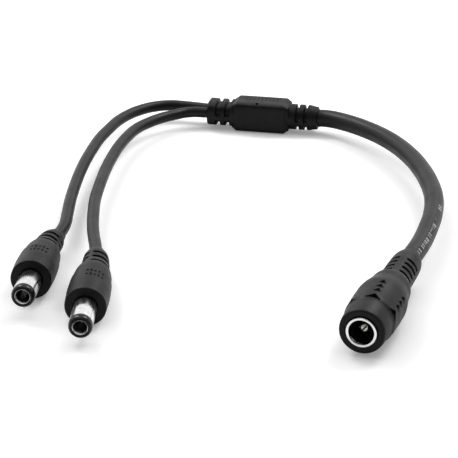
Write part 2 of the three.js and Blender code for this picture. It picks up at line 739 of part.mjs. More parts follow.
function junctionBlock() {
  const { endBevel, blockStart, blockEnd, blockWidth, blockHeight, blockEdge } = JUNCTION;
  const outline = roundedOutline(blockWidth - 2 * endBevel, blockHeight - 2 * endBevel, blockEdge);
  return bar(outline, blockStart + endBevel, blockEnd - endBevel, {
    bevelEnabled: true, bevelThickness: endBevel, bevelSize: endBevel, bevelSegments: 2, curveSegments: 3,
  });
}

function branchRelief() {
  const { branchWidth, branchHeight, blockStart, endBevel } = JUNCTION;
  const radius = branchHeight / 2 - JUNCTION.branchFlat;
  const outline = roundedOutline(branchWidth, branchHeight, radius);
  const body = bar(outline, 0, blockStart + endBevel, { curveSegments: CORNER_STEPS });
  const { width, depth, spine } = BRANCH_GROOVES;
  const tools = BRANCH_GROOVES.places.map((place) => {
    const around = roundedOutline(branchWidth + REACH, branchHeight + REACH, radius + REACH / 2);
    const core = roundedOutline(branchWidth - 2 * depth, branchHeight - 2 * depth, radius - depth);
    const ring = cut(
      bar(around, place - width / 2, place + width / 2, { curveSegments: CORNER_STEPS }),
      [bar(core, place - width, place + width, { curveSegments: CORNER_STEPS })]);
    return cut(ring, [box(
      [place - width, -branchWidth, -spine], [place + width, branchWidth, 0])]);
  });
  return cut(body, tools);
}

function trunkRelief() {
  const { trunkRadius, trunkEndRadius, trunkTaper, trunkDraft, blockEnd, endBevel, length } = JUNCTION;
  const profile = [
    [blockEnd - endBevel, trunkRadius], [length - trunkTaper, trunkRadius - trunkDraft],
    [length - JUNCTION.trunkTipLength, trunkEndRadius], [length, trunkEndRadius - JUNCTION.trunkTipRound],
  ];
  const body = turned([[blockEnd - endBevel, 0], ...profile, [length, 0]], METAL_SEGMENTS);
  const tools = TRUNK_GROOVES.places.flatMap((place) => [0, 2 * QUARTER_TURN].map((turn) => {
    const start = place - TRUNK_GROOVES.width / 2;
    const inner = radiusAt(profile, place) - TRUNK_GROOVES.depth;
    const half = QUARTER_TURN - TRUNK_GROOVES.spine / 2;
    return sector(start, start + TRUNK_GROOVES.width, inner, inner + 2 * REACH, turn, half);
  }));
  return cut(body, tools).rotateZ(-Math.PI / 2);
}

function junctionOvermould() {
  const { cavityStart, cavityEnd, cavityWidth, cavityHeight } = JUNCTION;
  const body = join([junctionBlock(), branchRelief(), trunkRelief()]);
  const last = cables.plugA.length - 1;
  return cut(body, [
    box([cavityStart, -cavityWidth / 2, -cavityHeight / 2], [cavityEnd, cavityWidth / 2, cavityHeight / 2]),
    cableWay(cables.plugA, last - WAY_STATIONS.junction, last, frames.junction, BRANCH.radius),
    cableWay(cables.plugB, last - WAY_STATIONS.junction, last, frames.junction, BRANCH.radius),
    cableWay(cables.trunk, 0, WAY_STATIONS.junction, frames.junction, TRUNK.radius),
  ]);
}

function alongX(geometry, offset) {
  return geometry.rotateZ(-Math.PI / 2).translate(0, offset, 0);
}

function junction() {
  const { crimpStart, crimpEnd, crimpRadius, crimpOffset, shrinkOverlap, shrinkWall } = JUNCTION;
  const bore = crimpRadius + FIT;
  const crimp = () => rod(crimpStart, crimpEnd, crimpRadius, SMALL_SEGMENTS);
  const shrink = () => tube(
    crimpStart - shrinkOverlap, crimpEnd + shrinkOverlap, bore, bore + shrinkWall, SMALL_SEGMENTS);
  const group = frames.junction;
  group.add(
    piece('junction_overmould', junctionOvermould(), 'rubber'),
    piece('junction_crimp_positive', alongX(crimp(), -crimpOffset), 'contact'),
    piece('junction_crimp_negative', alongX(crimp(), crimpOffset), 'contact'),
    piece('junction_shrink_positive', alongX(shrink(), -crimpOffset), 'black'),
    piece('junction_shrink_negative', alongX(shrink(), crimpOffset), 'black'),
  );
  return group;
}

// Cables

// Ends of the branch wires between their jackets and the splices: [along, across, up]
function spliceEnds(side, polarity) {
  const towards = polarity * JUNCTION.crimpOffset;
  const own = branchSide[side] * JUNCTION.branchPitch / 2 + polarity * BRANCH.spread;
  const seat = towards + branchSide[side] * BRANCH.spread;
  const crossing = branchSide[side] !== polarity;
  const lift = crossing ? -polarity * JUNCTION.branchWireLift : 0;
  const end = JUNCTION.crimpStart - JOINT_GAP;
  const start = JUNCTION.branchJacketEnd + JUNCTION.branchWireStart;
  const run = (end - start) * JUNCTION.branchWireRun;
  return [
    ...JUNCTION.branchWireShares.map((share) => new THREE.Vector3(
      start + run * share, own + (seat - own) * share, lift * Math.sin(Math.PI * share))),
    new THREE.Vector3(end - JUNCTION.branchWireLanding, seat, 0),
    new THREE.Vector3(end, seat, 0),
  ];
}

function plugEnds(side, polarity) {
  const end = PLUG.tailEnd + PLUG.solderLength + 2 * JOINT_GAP;
  const seat = polarity > 0 ? plugTagAcross + PLUG.tagWireOffset : PLUG.wireEndOffset;
  return inFrame(frames[side], [
    new THREE.Vector3(seat, end, 0), new THREE.Vector3(seat, end + WIRE_LEAD, 0),
  ]);
}

function branchWire(side, polarity) {
  const line = [
    ...plugEnds(side, polarity),
    ...beside(cables[side], polarity * BRANCH.spread),
    ...inFrame(frames.junction, spliceEnds(side, polarity)),
  ];
  return swept(new StationPath(line), BRANCH.wire, BRANCH.wireSides);
}

function trunkWire(polarity) {
  const start = JUNCTION.crimpEnd + JOINT_GAP;
  const seat = polarity * JUNCTION.crimpOffset;
  const end = SOCKET.tailEnd + SOCKET.solderLength + 2 * JOINT_GAP;
  const pinSeat = -SOCKET.tailOffset - SOCKET.pinWireOffset;
  const socketSeat = polarity > 0 ? leafAcross - SOCKET.leafWireOffset : pinSeat;
  const lead = start + JUNCTION.trunkWireLead;
  const line = [
    ...inFrame(frames.junction, [new THREE.Vector3(start, seat, 0), new THREE.Vector3(lead, seat, 0)]),
    ...beside(cables.trunk, polarity * TRUNK.spread),
    ...inFrame(frames.socket, [
      new THREE.Vector3(socketSeat, end + WIRE_LEAD, 0), new THREE.Vector3(socketSeat, end, 0),
    ]),
  ];
  return swept(new StationPath(line), TRUNK.wire, TRUNK.wireSides);
}

function jacket(stations, cable) {
  return swept(new StationPath(stations), cable.radius, cable.sides, cable.bore);
}

function cords() {
  const group = new THREE.Group();
  group.add(
    piece('trunk_jacket', jacket(cables.trunk, TRUNK), 'jacket'),
    piece('trunk_wire_positive', trunkWire(-1), 'red'),
    piece('trunk_wire_negative', trunkWire(1), 'black'),
  );
  [['plugA', 'branch_a'], ['plugB', 'branch_b']].forEach(([side, name]) => group.add(
    piece(`${name}_jacket`, jacket(cables[side], BRANCH), 'jacket'),
    piece(`${name}_wire_positive`, branchWire(side, -1), 'red'),
    piece(`${name}_wire_negative`, branchWire(side, 1), 'black'),
  ));
  return group;
}

const lead = new THREE.Group();
lead.add(plug('plugA', 'plug_a'), plug('plugB', 'plug_b'), socket(), junction(), cords());

export default lead;
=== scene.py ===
"""Moulded DC power splitter lead: one barrel socket, a Y junction and two barrel plugs.

Sizes are in millimetres along each connector's own axis, which runs along +Y from the mouth to
the cable. Angles about it start at +Z and turn towards +X. Every finished mesh is in metres.
"""

import logging
import math
from collections.abc import Callable, Sequence
from dataclasses import dataclass, field
from enum import Enum
from functools import cached_property

import bmesh
import bpy
from mathutils import Matrix, Vector


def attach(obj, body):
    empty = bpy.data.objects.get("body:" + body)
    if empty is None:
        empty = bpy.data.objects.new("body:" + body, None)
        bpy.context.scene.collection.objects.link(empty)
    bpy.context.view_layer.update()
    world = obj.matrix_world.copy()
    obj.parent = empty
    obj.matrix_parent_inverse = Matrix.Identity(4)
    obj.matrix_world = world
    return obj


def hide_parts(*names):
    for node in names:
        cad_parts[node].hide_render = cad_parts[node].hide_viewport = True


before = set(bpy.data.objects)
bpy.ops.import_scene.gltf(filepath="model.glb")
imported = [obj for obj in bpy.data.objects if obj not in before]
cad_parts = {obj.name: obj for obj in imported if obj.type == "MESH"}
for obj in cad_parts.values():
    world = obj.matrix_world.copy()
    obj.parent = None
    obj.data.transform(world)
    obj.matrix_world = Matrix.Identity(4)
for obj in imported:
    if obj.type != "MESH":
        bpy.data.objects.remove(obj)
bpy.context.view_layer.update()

LOG = logging.getLogger("splitter_lead")
MM = 0.001
BODY = "root"
SHARP_ANGLE = math.radians(38)  # an edge past it shades sharp
SLACK = 1e-5  # rounding in millimetres when places are compared
MERGE = 1e-4  # vertices this close in millimetres are one

Point = tuple[float, float]
Place = tuple[float, float, float]
Color = tuple[float, float, float]

WHITE = (1, 1, 1, 1)
UNIT: Point = (0, 1)
NOISE_RANGE: Point = (0.3, 0.7)  # most of a noise's greys lie between these


class Slot(Enum):
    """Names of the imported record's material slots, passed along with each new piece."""

    MOULDED = "moulded_rubber"
    JACKET = "cable_jacket"
    INSULATOR = "gloss_insulator"
    NICKEL = "nickel"
    CONTACT = "contact_metal"


# Shape helpers


def smooth_step(low: float, high: float, value: float) -> float:
    """Return how far a value has come from a low to a high limit, eased, from 0 to 1."""
    share = min(1.0, max(0.0, (value - low) / (high - low)))
    return share * share * (3 - 2 * share)


def window(value: float, middle: float, half: float, soft: float) -> float:
    """Return the weight of a band, 1 inside it and 0 outside, whose edges fade over soft."""
    return 1 - smooth_step(half - soft / 2, half + soft / 2, abs(value - middle))


def slot_band(places: Sequence[float], along: float, width: float, soft: float) -> float:
    """Return the weight of the nearest of several equal slots at a place along the axis."""
    return window(along, min(places, key=lambda place: abs(place - along)), width / 2, soft)


def rounding(inside: float, edge: float) -> float:
    """Return how far a rounded edge draws in at a distance inside it."""
    drop = max(0.0, 1 - inside / edge)
    return edge * (1 - math.sqrt(max(0.0, 1 - drop * drop)))


def angle_between(turn: float, other: float) -> float:
    """Return the signed difference of two angles in degrees, from -180 to 180."""
    return (turn - other + 180) % 360 - 180


def angle_from(turn: float, sides: Sequence[float]) -> float:
    """Return how far an angle lies from the nearest of several, in degrees."""
    return min(abs(angle_between(turn, side)) for side in sides)


def rows(start: float, end: float, coarse: float, fine: Sequence[Place] = ()) -> list[float]:
    """Places of the rings along an axis, closer together where detail needs it.

    Args:
        start: First ring.
        end: Last ring.
        coarse: Spacing of plain stretches.
        fine: Stretches with their own spacing, as (from, to, spacing), in order.

    Returns:
        The places, from start to end.
    """
    found: list[float] = []
    edge = start
    for low, high, spacing in [*fine, (end, end, coarse)]:
        for a, b, step in ((edge, low, coarse), (low, high, spacing)):
            count = max(1, round((b - a) / step)) if b > a else 0
            found.extend(a + (b - a) * i / count for i in range(count))
        edge = high
    return [*found, end]


@dataclass(frozen=True)
class Outline:
    """Smooth radius through a few points along an axis, with no overshoot."""

    points: tuple[Point, ...]

    @cached_property
    def slopes(self) -> list[float]:
        """Slope at each point, level where the outline turns.

        Returns:
            One slope for each point.
        """
        steps = [(b[1] - a[1]) / (b[0] - a[0]) for a, b in zip(self.points, self.points[1:])]
        inside = [
            0.0 if before * after <= 0 else 2 * before * after / (before + after)
            for before, after in zip(steps, steps[1:])
        ]
        return [steps[0], *inside, steps[-1]]

    def radius(self, along: float) -> float:
        """Radius at a place along the axis.

        Args:
            along: Distance along the axis.

        Returns:
            The radius there, held level past the ends.
        """
        first, last = self.points[0], self.points[-1]
        if along <= first[0]:
            return first[1]
        if along >= last[0]:
            return last[1]
        index = next(i for i, point in enumerate(self.points) if point[0] > along) - 1
        (a, low), (b, high) = self.points[index], self.points[index + 1]
        run = b - a
        t = (along - a) / run
        return (
            low * (1 + 2 * t) * (1 - t) ** 2
            + high * t * t * (3 - 2 * t)
            + run * self.slopes[index] * t * (1 - t) ** 2
            - run * self.slopes[index + 1] * t * t * (1 - t)
        )


@dataclass(frozen=True)
class Placement:
    """Where a connector lies: its mouth in millimetres, its turn and its tilt in degrees."""

    at: Place
    yaw: float
    pitch: float = 0.0

    def matrix(self) -> Matrix:
        """Transform from the connector's millimetres to the frame's metres.

        Returns:
            The transform.
        """
        turn = Matrix.Rotation(-math.radians(self.yaw), 4, "Z")
        tilt = Matrix.Rotation(math.radians(self.pitch), 4, "X")
        return Matrix.Translation(Vector(self.at) * MM) @ turn @ tilt @ Matrix.Scale(MM, 4)

    def point(self, local: Place) -> Vector:
        """Return a local point in the frame, in metres."""
        return self.matrix() @ Vector(local)


# Materials


class Tree:
    """Small helper that adds and joins the nodes of one tree."""

    def __init__(self, tree: bpy.types.NodeTree) -> None:
        """Take a node tree to work on."""
        self.tree = tree

    def add(self, kind: str, **values: object) -> bpy.types.Node:
        """Add a node and set its properties.

        Args:
            kind: The node's type name.
            **values: Properties by name.

        Returns:
            The new node.
        """
        node = self.tree.nodes.new(kind)
        for key, value in values.items():
            setattr(node, key, value)
        return node

    def link(self, source: bpy.types.NodeSocket, target: bpy.types.NodeSocket) -> None:
        """Join two sockets."""
        self.tree.links.new(source, target)

    def remap(self, value: bpy.types.NodeSocket, span: Point, result: Point,
              fade: str = "LINEAR") -> bpy.types.NodeSocket:
        """Map a grey range to another range.

        Args:
            value: The grey to map.
            span: Its lower and upper limit.
            result: Results at those limits.
            fade: How it runs from one to the other.

        Returns:
            The mapped socket.
        """
        node = self.add("ShaderNodeMapRange", clamp=True, interpolation_type=fade)
        for key, number in zip(("From Min", "From Max", "To Min", "To Max"), (*span, *result)):
            node.inputs[key].default_value = number
        self.link(value, node.inputs["Value"])
        return node.outputs["Result"]

    def background(self, strength: bpy.types.NodeSocket | None = None) -> bpy.types.NodeSocket:
        """White light of a world.

        Args:
            strength: Its strength, or none for 1.

        Returns:
            The shader socket.
        """
        node = self.add("ShaderNodeBackground")
        node.inputs["Color"].default_value = WHITE
        if strength is not None:
            self.link(strength, node.inputs["Strength"])
        return node.outputs["Background"]

    def mix(self, share: bpy.types.NodeSocket, first: bpy.types.NodeSocket,
            second: bpy.types.NodeSocket) -> bpy.types.NodeSocket:
        """Mix two shaders.

        Args:
            share: The share of the second shader.
            first: Shader at 0.
            second: Shader at 1.

        Returns:
            The shader socket.
        """
        node = self.add("ShaderNodeMixShader")
        for target, source in zip(node.inputs, (share, first, second)):
            self.link(source, target)
        return node.outputs["Shader"]


class Nodes(Tree):
    """Helper that builds one procedural material around a Principled shader."""

    def __init__(self, name: str) -> None:
        """Start a material.

        Args:
            name: The material's name.
        """
        self.material = bpy.data.materials.new(name)
        self.material.use_nodes = True
        super().__init__(self.material.node_tree)
        self.shader = self.tree.nodes["Principled BSDF"]

    def coordinates(self, turn: float = 0.0, scale: Place = (1, 1, 1)) -> bpy.types.NodeSocket:
        """Object coordinates, turned about +Z and stretched.

        Args:
            turn: Turn in degrees that lays a connector's axis along +Y.
            scale: Stretch along each axis after the turn.

        Returns:
            The vector socket.
        """
        vector = self.add("ShaderNodeTexCoord").outputs["Object"]
        for key, value in (("Rotation", (0, 0, math.radians(turn))), ("Scale", scale)):
            step = self.add("ShaderNodeMapping", vector_type="POINT")
            step.inputs[key].default_value = value
            self.link(vector, step.inputs["Vector"])
            vector = step.outputs["Vector"]
        return vector

    def noise(self, vector: bpy.types.NodeSocket, scale: float, detail: float,
              roughness: float = 0.55) -> bpy.types.NodeSocket:
        """Noise at a scale per metre.

        Args:
            vector: Where the noise is read.
            scale: Features per metre.
            detail: Octaves.
            roughness: Weight of the finer octaves.

        Returns:
            The grey socket.
        """
        node = self.add("ShaderNodeTexNoise")
        node.inputs["Scale"].default_value = scale
        node.inputs["Detail"].default_value = detail
        node.inputs["Roughness"].default_value = roughness
        self.link(vector, node.inputs["Vector"])
        return node.outputs["Fac"]

    def blend(self, share: bpy.types.NodeSocket, first: Color, second: Color) -> bpy.types.NodeSocket:
        """Mix two colours by a grey.

        Args:
            share: The share of the second colour.
            first: Colour at 0.
            second: Colour at 1.

        Returns:
            The colour socket.
        """
        node = self.add("ShaderNodeMix", data_type="RGBA")
        node.inputs[6].default_value = (*first, 1)
        node.inputs[7].default_value = (*second, 1)
        self.link(share, node.inputs["Factor"])
        return node.outputs[2]

    def bump(self, height: bpy.types.NodeSocket, strength: float, distance: float,
             under: bpy.types.NodeSocket | None = None) -> bpy.types.NodeSocket:
        """Bump on top of another bump.

        Args:
            height: The grey height.
            strength: Share of the bump.
            distance: Height of a full step, in metres.
            under: Normal to build on.

        Returns:
            The normal socket.
        """
        node = self.add("ShaderNodeBump")
        node.inputs["Strength"].default_value = strength
        node.inputs["Distance"].default_value = distance
        self.link(height, node.inputs["Height"])
        if under is not None:
            self.link(under, node.inputs["Normal"])
        return node.outputs["Normal"]

    def set(self, **values: float) -> None:
        """Set the shader's own uniform sockets, with underscores for spaces."""
        for key, value in values.items():
            self.shader.inputs[key.replace("_", " ")].default_value = value

    def finished(self, color: bpy.types.NodeSocket, roughness: bpy.types.NodeSocket,
                 normal: bpy.types.NodeSocket, **values: float) -> bpy.types.Material:
        """Join the shader's three varied inputs and set its uniform ones.

        Args:
            color: Base colour.
            roughness: Roughness.
            normal: Normal.
            **values: Uniform inputs by name, with underscores for spaces.

        Returns:
            The finished material.
        """
        for key, source in (("Base Color", color), ("Roughness", roughness), ("Normal", normal)):
            self.link(source, self.shader.inputs[key])
        self.set(**values)
        return self.material


@dataclass(frozen=True)
class MouldedFinish:
    """Soft moulded plastic with a fine eroded grain, faint flow marks and duller patches."""

    name: str
    dark: Color = (0.003, 0.003, 0.0032)
    light: Color = (0.0075, 0.0075, 0.0078)
    roughness: Point = (0.38, 0.54)
    gloss: float = 0.17
    grain: float = 5200.0
    flow: float = 260.0
    patches: Point = (0.35, 0.65)
    grain_height: float = 0.00005
    flow_height: float = 0.00015

    def material(self) -> bpy.types.Material:
        """Make the material.

        Returns:
            The material.
        """
        nodes = Nodes(self.name)
        space = nodes.coordinates()
        fine = nodes.noise(space, self.grain, detail=2.0)
        broad = nodes.noise(space, self.flow, detail=4.0)
        soft = nodes.bump(broad, strength=0.2, distance=self.flow_height)
        return nodes.finished(
            nodes.blend(nodes.remap(broad, self.patches, UNIT), self.dark, self.light),
            nodes.remap(broad, NOISE_RANGE, self.roughness),
            nodes.bump(fine, strength=0.35, distance=self.grain_height, under=soft),
            Specular_IOR_Level=self.gloss, Metallic=0.0)


@dataclass(frozen=True)
class JacketFinish:
    """Extruded cable skin: satin, with faint lengthwise draw marks and handling haze."""

    name: str
    dark: Color = (0.004, 0.004, 0.0043)
    light: Color = (0.0085, 0.0085, 0.0088)
    roughness: Point = (0.34, 0.48)
    gloss: float = 0.22
    haze: float = 150.0
    grain: float = 4200.0
    draw: float = 2600.0
    draw_stretch: Place = (1, 0.04, 1)
    draw_height: float = 0.00003
    grain_height: float = 0.00002

    def material(self) -> bpy.types.Material:
        """Make the material.

        Returns:
            The material.
        """
        nodes = Nodes(self.name)
        space = nodes.coordinates()
        haze = nodes.noise(space, self.haze, detail=4.0)
        fine = nodes.noise(space, self.grain, detail=2.0)
        draw = nodes.noise(nodes.coordinates(0, self.draw_stretch), self.draw, detail=2.0)
        drawn = nodes.bump(draw, strength=0.15, distance=self.draw_height)
        return nodes.finished(
            nodes.blend(haze, self.dark, self.light),
            nodes.remap(haze, NOISE_RANGE, self.roughness),
            nodes.bump(fine, strength=0.2, distance=self.grain_height, under=drawn),
            Specular_IOR_Level=self.gloss, Metallic=0.0)


@dataclass(frozen=True)
class PlatedFinish:
    """Plated metal with fine turned lines around its axis, rub marks and a faint tarnish."""

    name: str
    bright: Color = (0.89, 0.89, 0.885)
    dull: Color = (0.7, 0.7, 0.69)
    roughness: Point = (0.12, 0.3)
    turn: float = 0.0
    lines: float = 5200.0
    line_stretch: Place = (0.02, 1, 0.02)
    rubs: float = 900.0
    rub_stretch: Place = (1, 0.15, 1)
    rub_levels: Point = (0.35, 0.75)
    haze: float = 420.0
    haze_levels: Point = (0.45, 0.8)
    height: float = 0.00001

    def material(self) -> bpy.types.Material:
        """Make the material.

        Returns:
            The material.
        """
        nodes = Nodes(self.name)
        turned = nodes.noise(nodes.coordinates(self.turn, self.line_stretch), self.lines, detail=2.0)
        rubs = nodes.noise(nodes.coordinates(self.turn, self.rub_stretch), self.rubs,
                           detail=3.0, roughness=0.7)
        haze = nodes.noise(nodes.coordinates(), self.haze, detail=3.0)
        worn = nodes.bump(rubs, strength=0.03, distance=self.height)
        return nodes.finished(
            nodes.blend(nodes.remap(haze, self.haze_levels, UNIT), self.bright, self.dull),
            nodes.remap(rubs, self.rub_levels, self.roughness),
            nodes.bump(turned, strength=0.05, distance=self.height, under=worn),
            Metallic=1.0)


@dataclass(frozen=True)
class PolishedFinish:
    """Hard glossy plastic with a soft ripple and fine hairline scuffs."""

    name: str
    dark: Color = (0.006, 0.006, 0.0065)
    light: Color = (0.014, 0.014, 0.015)
    roughness: Point = (0.08, 0.18)
    gloss: float = 0.2
    ripple: float = 700.0
    ripple_height: float = 0.00003
    scuffs: float = 3800.0
    scuff_turn: float = 35.0
    scuff_stretch: Place = (0.1, 1, 1)
    scuff_levels: Point = (0.4, 0.75)

    def material(self) -> bpy.types.Material:
        """Make the material.

        Returns:
            The material.
        """
        nodes = Nodes(self.name)
        ripple = nodes.noise(nodes.coordinates(), self.ripple, detail=2.0)
        scuffs = nodes.noise(nodes.coordinates(self.scuff_turn, self.scuff_stretch), self.scuffs,
                             detail=3.0, roughness=0.7)
        return nodes.finished(
            nodes.blend(ripple, self.dark, self.light),
            nodes.remap(scuffs, self.scuff_levels, self.roughness),
            nodes.bump(ripple, strength=0.12, distance=self.ripple_height),
            Specular_IOR_Level=self.gloss, Metallic=0.0)


@dataclass(frozen=True)
class SolderFinish:
    """Cooled solder: silvery, wrinkled, with a dull flux haze."""

    name: str
    bright: Color = (0.68, 0.68, 0.69)
    dull: Color = (0.42, 0.41, 0.38)
    roughness: Point = (0.28, 0.5)
    wrinkle: float = 1600.0
    wrinkle_height: float = 0.00008
    flux: float = 600.0
    flux_levels: Point = (0.4, 0.7)

    def material(self) -> bpy.types.Material:
        """Make the material.

        Returns:
            The material.
        """
        nodes = Nodes(self.name)
        wrinkle = nodes.noise(nodes.coordinates(), self.wrinkle, detail=4.0)
        flux = nodes.noise(nodes.coordinates(), self.flux, detail=2.0)
        return nodes.finished(
            nodes.blend(nodes.remap(flux, self.flux_levels, UNIT), self.bright, self.dull),
            nodes.remap(wrinkle, NOISE_RANGE, self.roughness),
            nodes.bump(wrinkle, strength=0.4, distance=self.wrinkle_height),
            Metallic=1.0)


@dataclass(frozen=True)
class InkFinish:
    """Pale printing ink, thin and slightly broken up."""

    name: str
    full: Color = (0.5, 0.5, 0.49)
    worn: Color = (0.16, 0.16, 0.16)
    roughness: Point = (0.5, 0.7)
    breaks: float = 3000.0
    break_levels: Point = (0.42, 0.62)
    height: float = 0.00001

    def material(self) -> bpy.types.Material:
        """Make the material.

        Returns:
            The material.
        """
        nodes = Nodes(self.name)
        breaks = nodes.noise(nodes.coordinates(), self.breaks, detail=3.0)
        return nodes.finished(
            nodes.blend(nodes.remap(breaks, self.break_levels, UNIT), self.full, self.worn),
            nodes.remap(breaks, NOISE_RANGE, self.roughness),
            nodes.bump(breaks, strength=0.2, distance=self.height))


Finish = MouldedFinish | JacketFinish | PlatedFinish | PolishedFinish | SolderFinish | InkFinish


@dataclass
class Finishes:
    """The lead's materials, each made once."""

    made: dict[str, bpy.types.Material] = field(default_factory=dict)

    def get(self, finish: Finish) -> bpy.types.Material:
        """Material of a finish.

        Args:
            finish: The finish.

        Returns:
            Its material, shared by the pieces that use it.
        """
        if finish.name not in self.made:
            self.made[finish.name] = finish.material()
        return self.made[finish.name]


FINISHES = Finishes()
MOULDED = MouldedFinish("moulded_skin")
HARD = MouldedFinish("hard_pre_mould", (0.03, 0.03, 0.032), (0.045, 0.045, 0.047), (0.35, 0.5),
                     grain=3000.0)
JACKET = JacketFinish("cable_skin")
POLISHED = PolishedFinish("polished_insulator")
SOLDER = SolderFinish("cooled_solder")
INK = InkFinish("print_ink")
RED_WIRE = JacketFinish("red_wire_skin", (0.36, 0.015, 0.015), (0.46, 0.03, 0.03))
BLACK_WIRE = JacketFinish("black_wire_skin", (0.012, 0.012, 0.012), (0.02, 0.02, 0.02))
INNER_CONTACT = PlatedFinish("inner_contact_plate", (0.78, 0.74, 0.64), (0.6, 0.56, 0.47), (0.2, 0.4))


# Mesh helpers


def spun(points: Sequence[Point], segments: int, closed: bool) -> bmesh.types.BMesh:
    """Turn a profile about +Y.

    Args:
        points: (along, radius) pairs. An open profile begins and ends on the axis.
        segments: Steps of the full turn.
        closed: Whether the profile closes on itself.

    Returns:
        A closed mesh, in millimetres.
    """
    mesh = bmesh.new()
    verts = [mesh.verts.new((0, along, radius)) for along, radius in points]
    edges = [mesh.edges.new(pair) for pair in zip(verts, verts[1:])]
    if closed:
        edges.append(mesh.edges.new((verts[-1], verts[0])))
    bmesh.ops.spin(mesh, geom=[*verts, *edges], cent=(0, 0, 0), axis=(0, 1, 0), dvec=(0, 0, 0),
                   angle=math.tau, steps=segments, use_merge=True, use_duplicate=False)
    bmesh.ops.remove_doubles(mesh, verts=mesh.verts, dist=MERGE)
    bmesh.ops.recalc_face_normals(mesh, faces=mesh.faces)
    return mesh


def reshape(mesh: bmesh.types.BMesh, start: float, end: float, inner: float,
            radius: Callable[[float, float], float]) -> None:
    """Set the radius of an outer surface by place and angle.

    Args:
        mesh: The turned mesh.
        start: First place that counts as the outer surface.
        end: Last such place.
        inner: Vertices nearer the axis than this stay.
        radius: Radius from the place along the axis and the angle in degrees.
    """
    for vert in mesh.verts:
        x, along, z = vert.co
        size = math.hypot(x, z)
        if size < inner or not start - SLACK <= along <= end + SLACK:
            continue
        grow = radius(along, math.degrees(math.atan2(x, z))) / size
        vert.co = (x * grow, along, z * grow)


def linked(name: str, data: bpy.types.ID) -> bpy.types.Object:
    """Make an object in the scene.

    Args:
        name: Its name.
        data: Its mesh, curve, lamp or camera.

    Returns:
        The object.
    """
    made = bpy.data.objects.new(name, data)
    bpy.context.scene.collection.objects.link(made)
    return made


def settle(mesh: bmesh.types.BMesh, name: str, matrix: Matrix, finish: Finish, slot: Slot,
           *replaced: str) -> None:
    """Make a finished piece that rides on the lead, at the origin and unturned.

    Args:
        mesh: The mesh, in millimetres.
        name: The piece's name.
        matrix: Transform into the frame.
        finish: Its finish.
        slot: Its slot in the record.
        *replaced: CAD nodes that it stands for.
    """
    bmesh.ops.transform(mesh, matrix=matrix, verts=mesh.verts)
    data = bpy.data.meshes.new(name)
    mesh.to_mesh(data)
    mesh.free()
    data.materials.append(FINISHES.get(finish))
    data.shade_smooth()
    data.set_sharp_from_angle(angle=SHARP_ANGLE)
    seat(linked(name, data), slot, *replaced)


def seat(piece: bpy.types.Object, slot: Slot, *replaced: str) -> None:
    """Hang a piece on the lead's body, and hide and log the nodes that it stands for.

    Args:
        piece: The piece.
        slot: Its slot in the record; not used.
        *replaced: CAD nodes that it stands for.
    """
    if replaced:
        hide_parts(*replaced)
    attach(piece, BODY)
    LOG.info("piece %s stands for %s", piece.name, ", ".join(replaced) or "nothing in the solids")


# Places, as in the solids

PLUG_A = Placement((-44.85, -58.69, 5.66), 5.2, -2.0)
PLUG_B = Placement((-30.68, -73.33, 4.65), 2.9, 1.5)
SOCKET = Placement((31.9, -78.33, 6.1), 18.9)
JUNCTION = Placement((-3.02, 75.76, 4.35), 101.83)


# Camera and stage


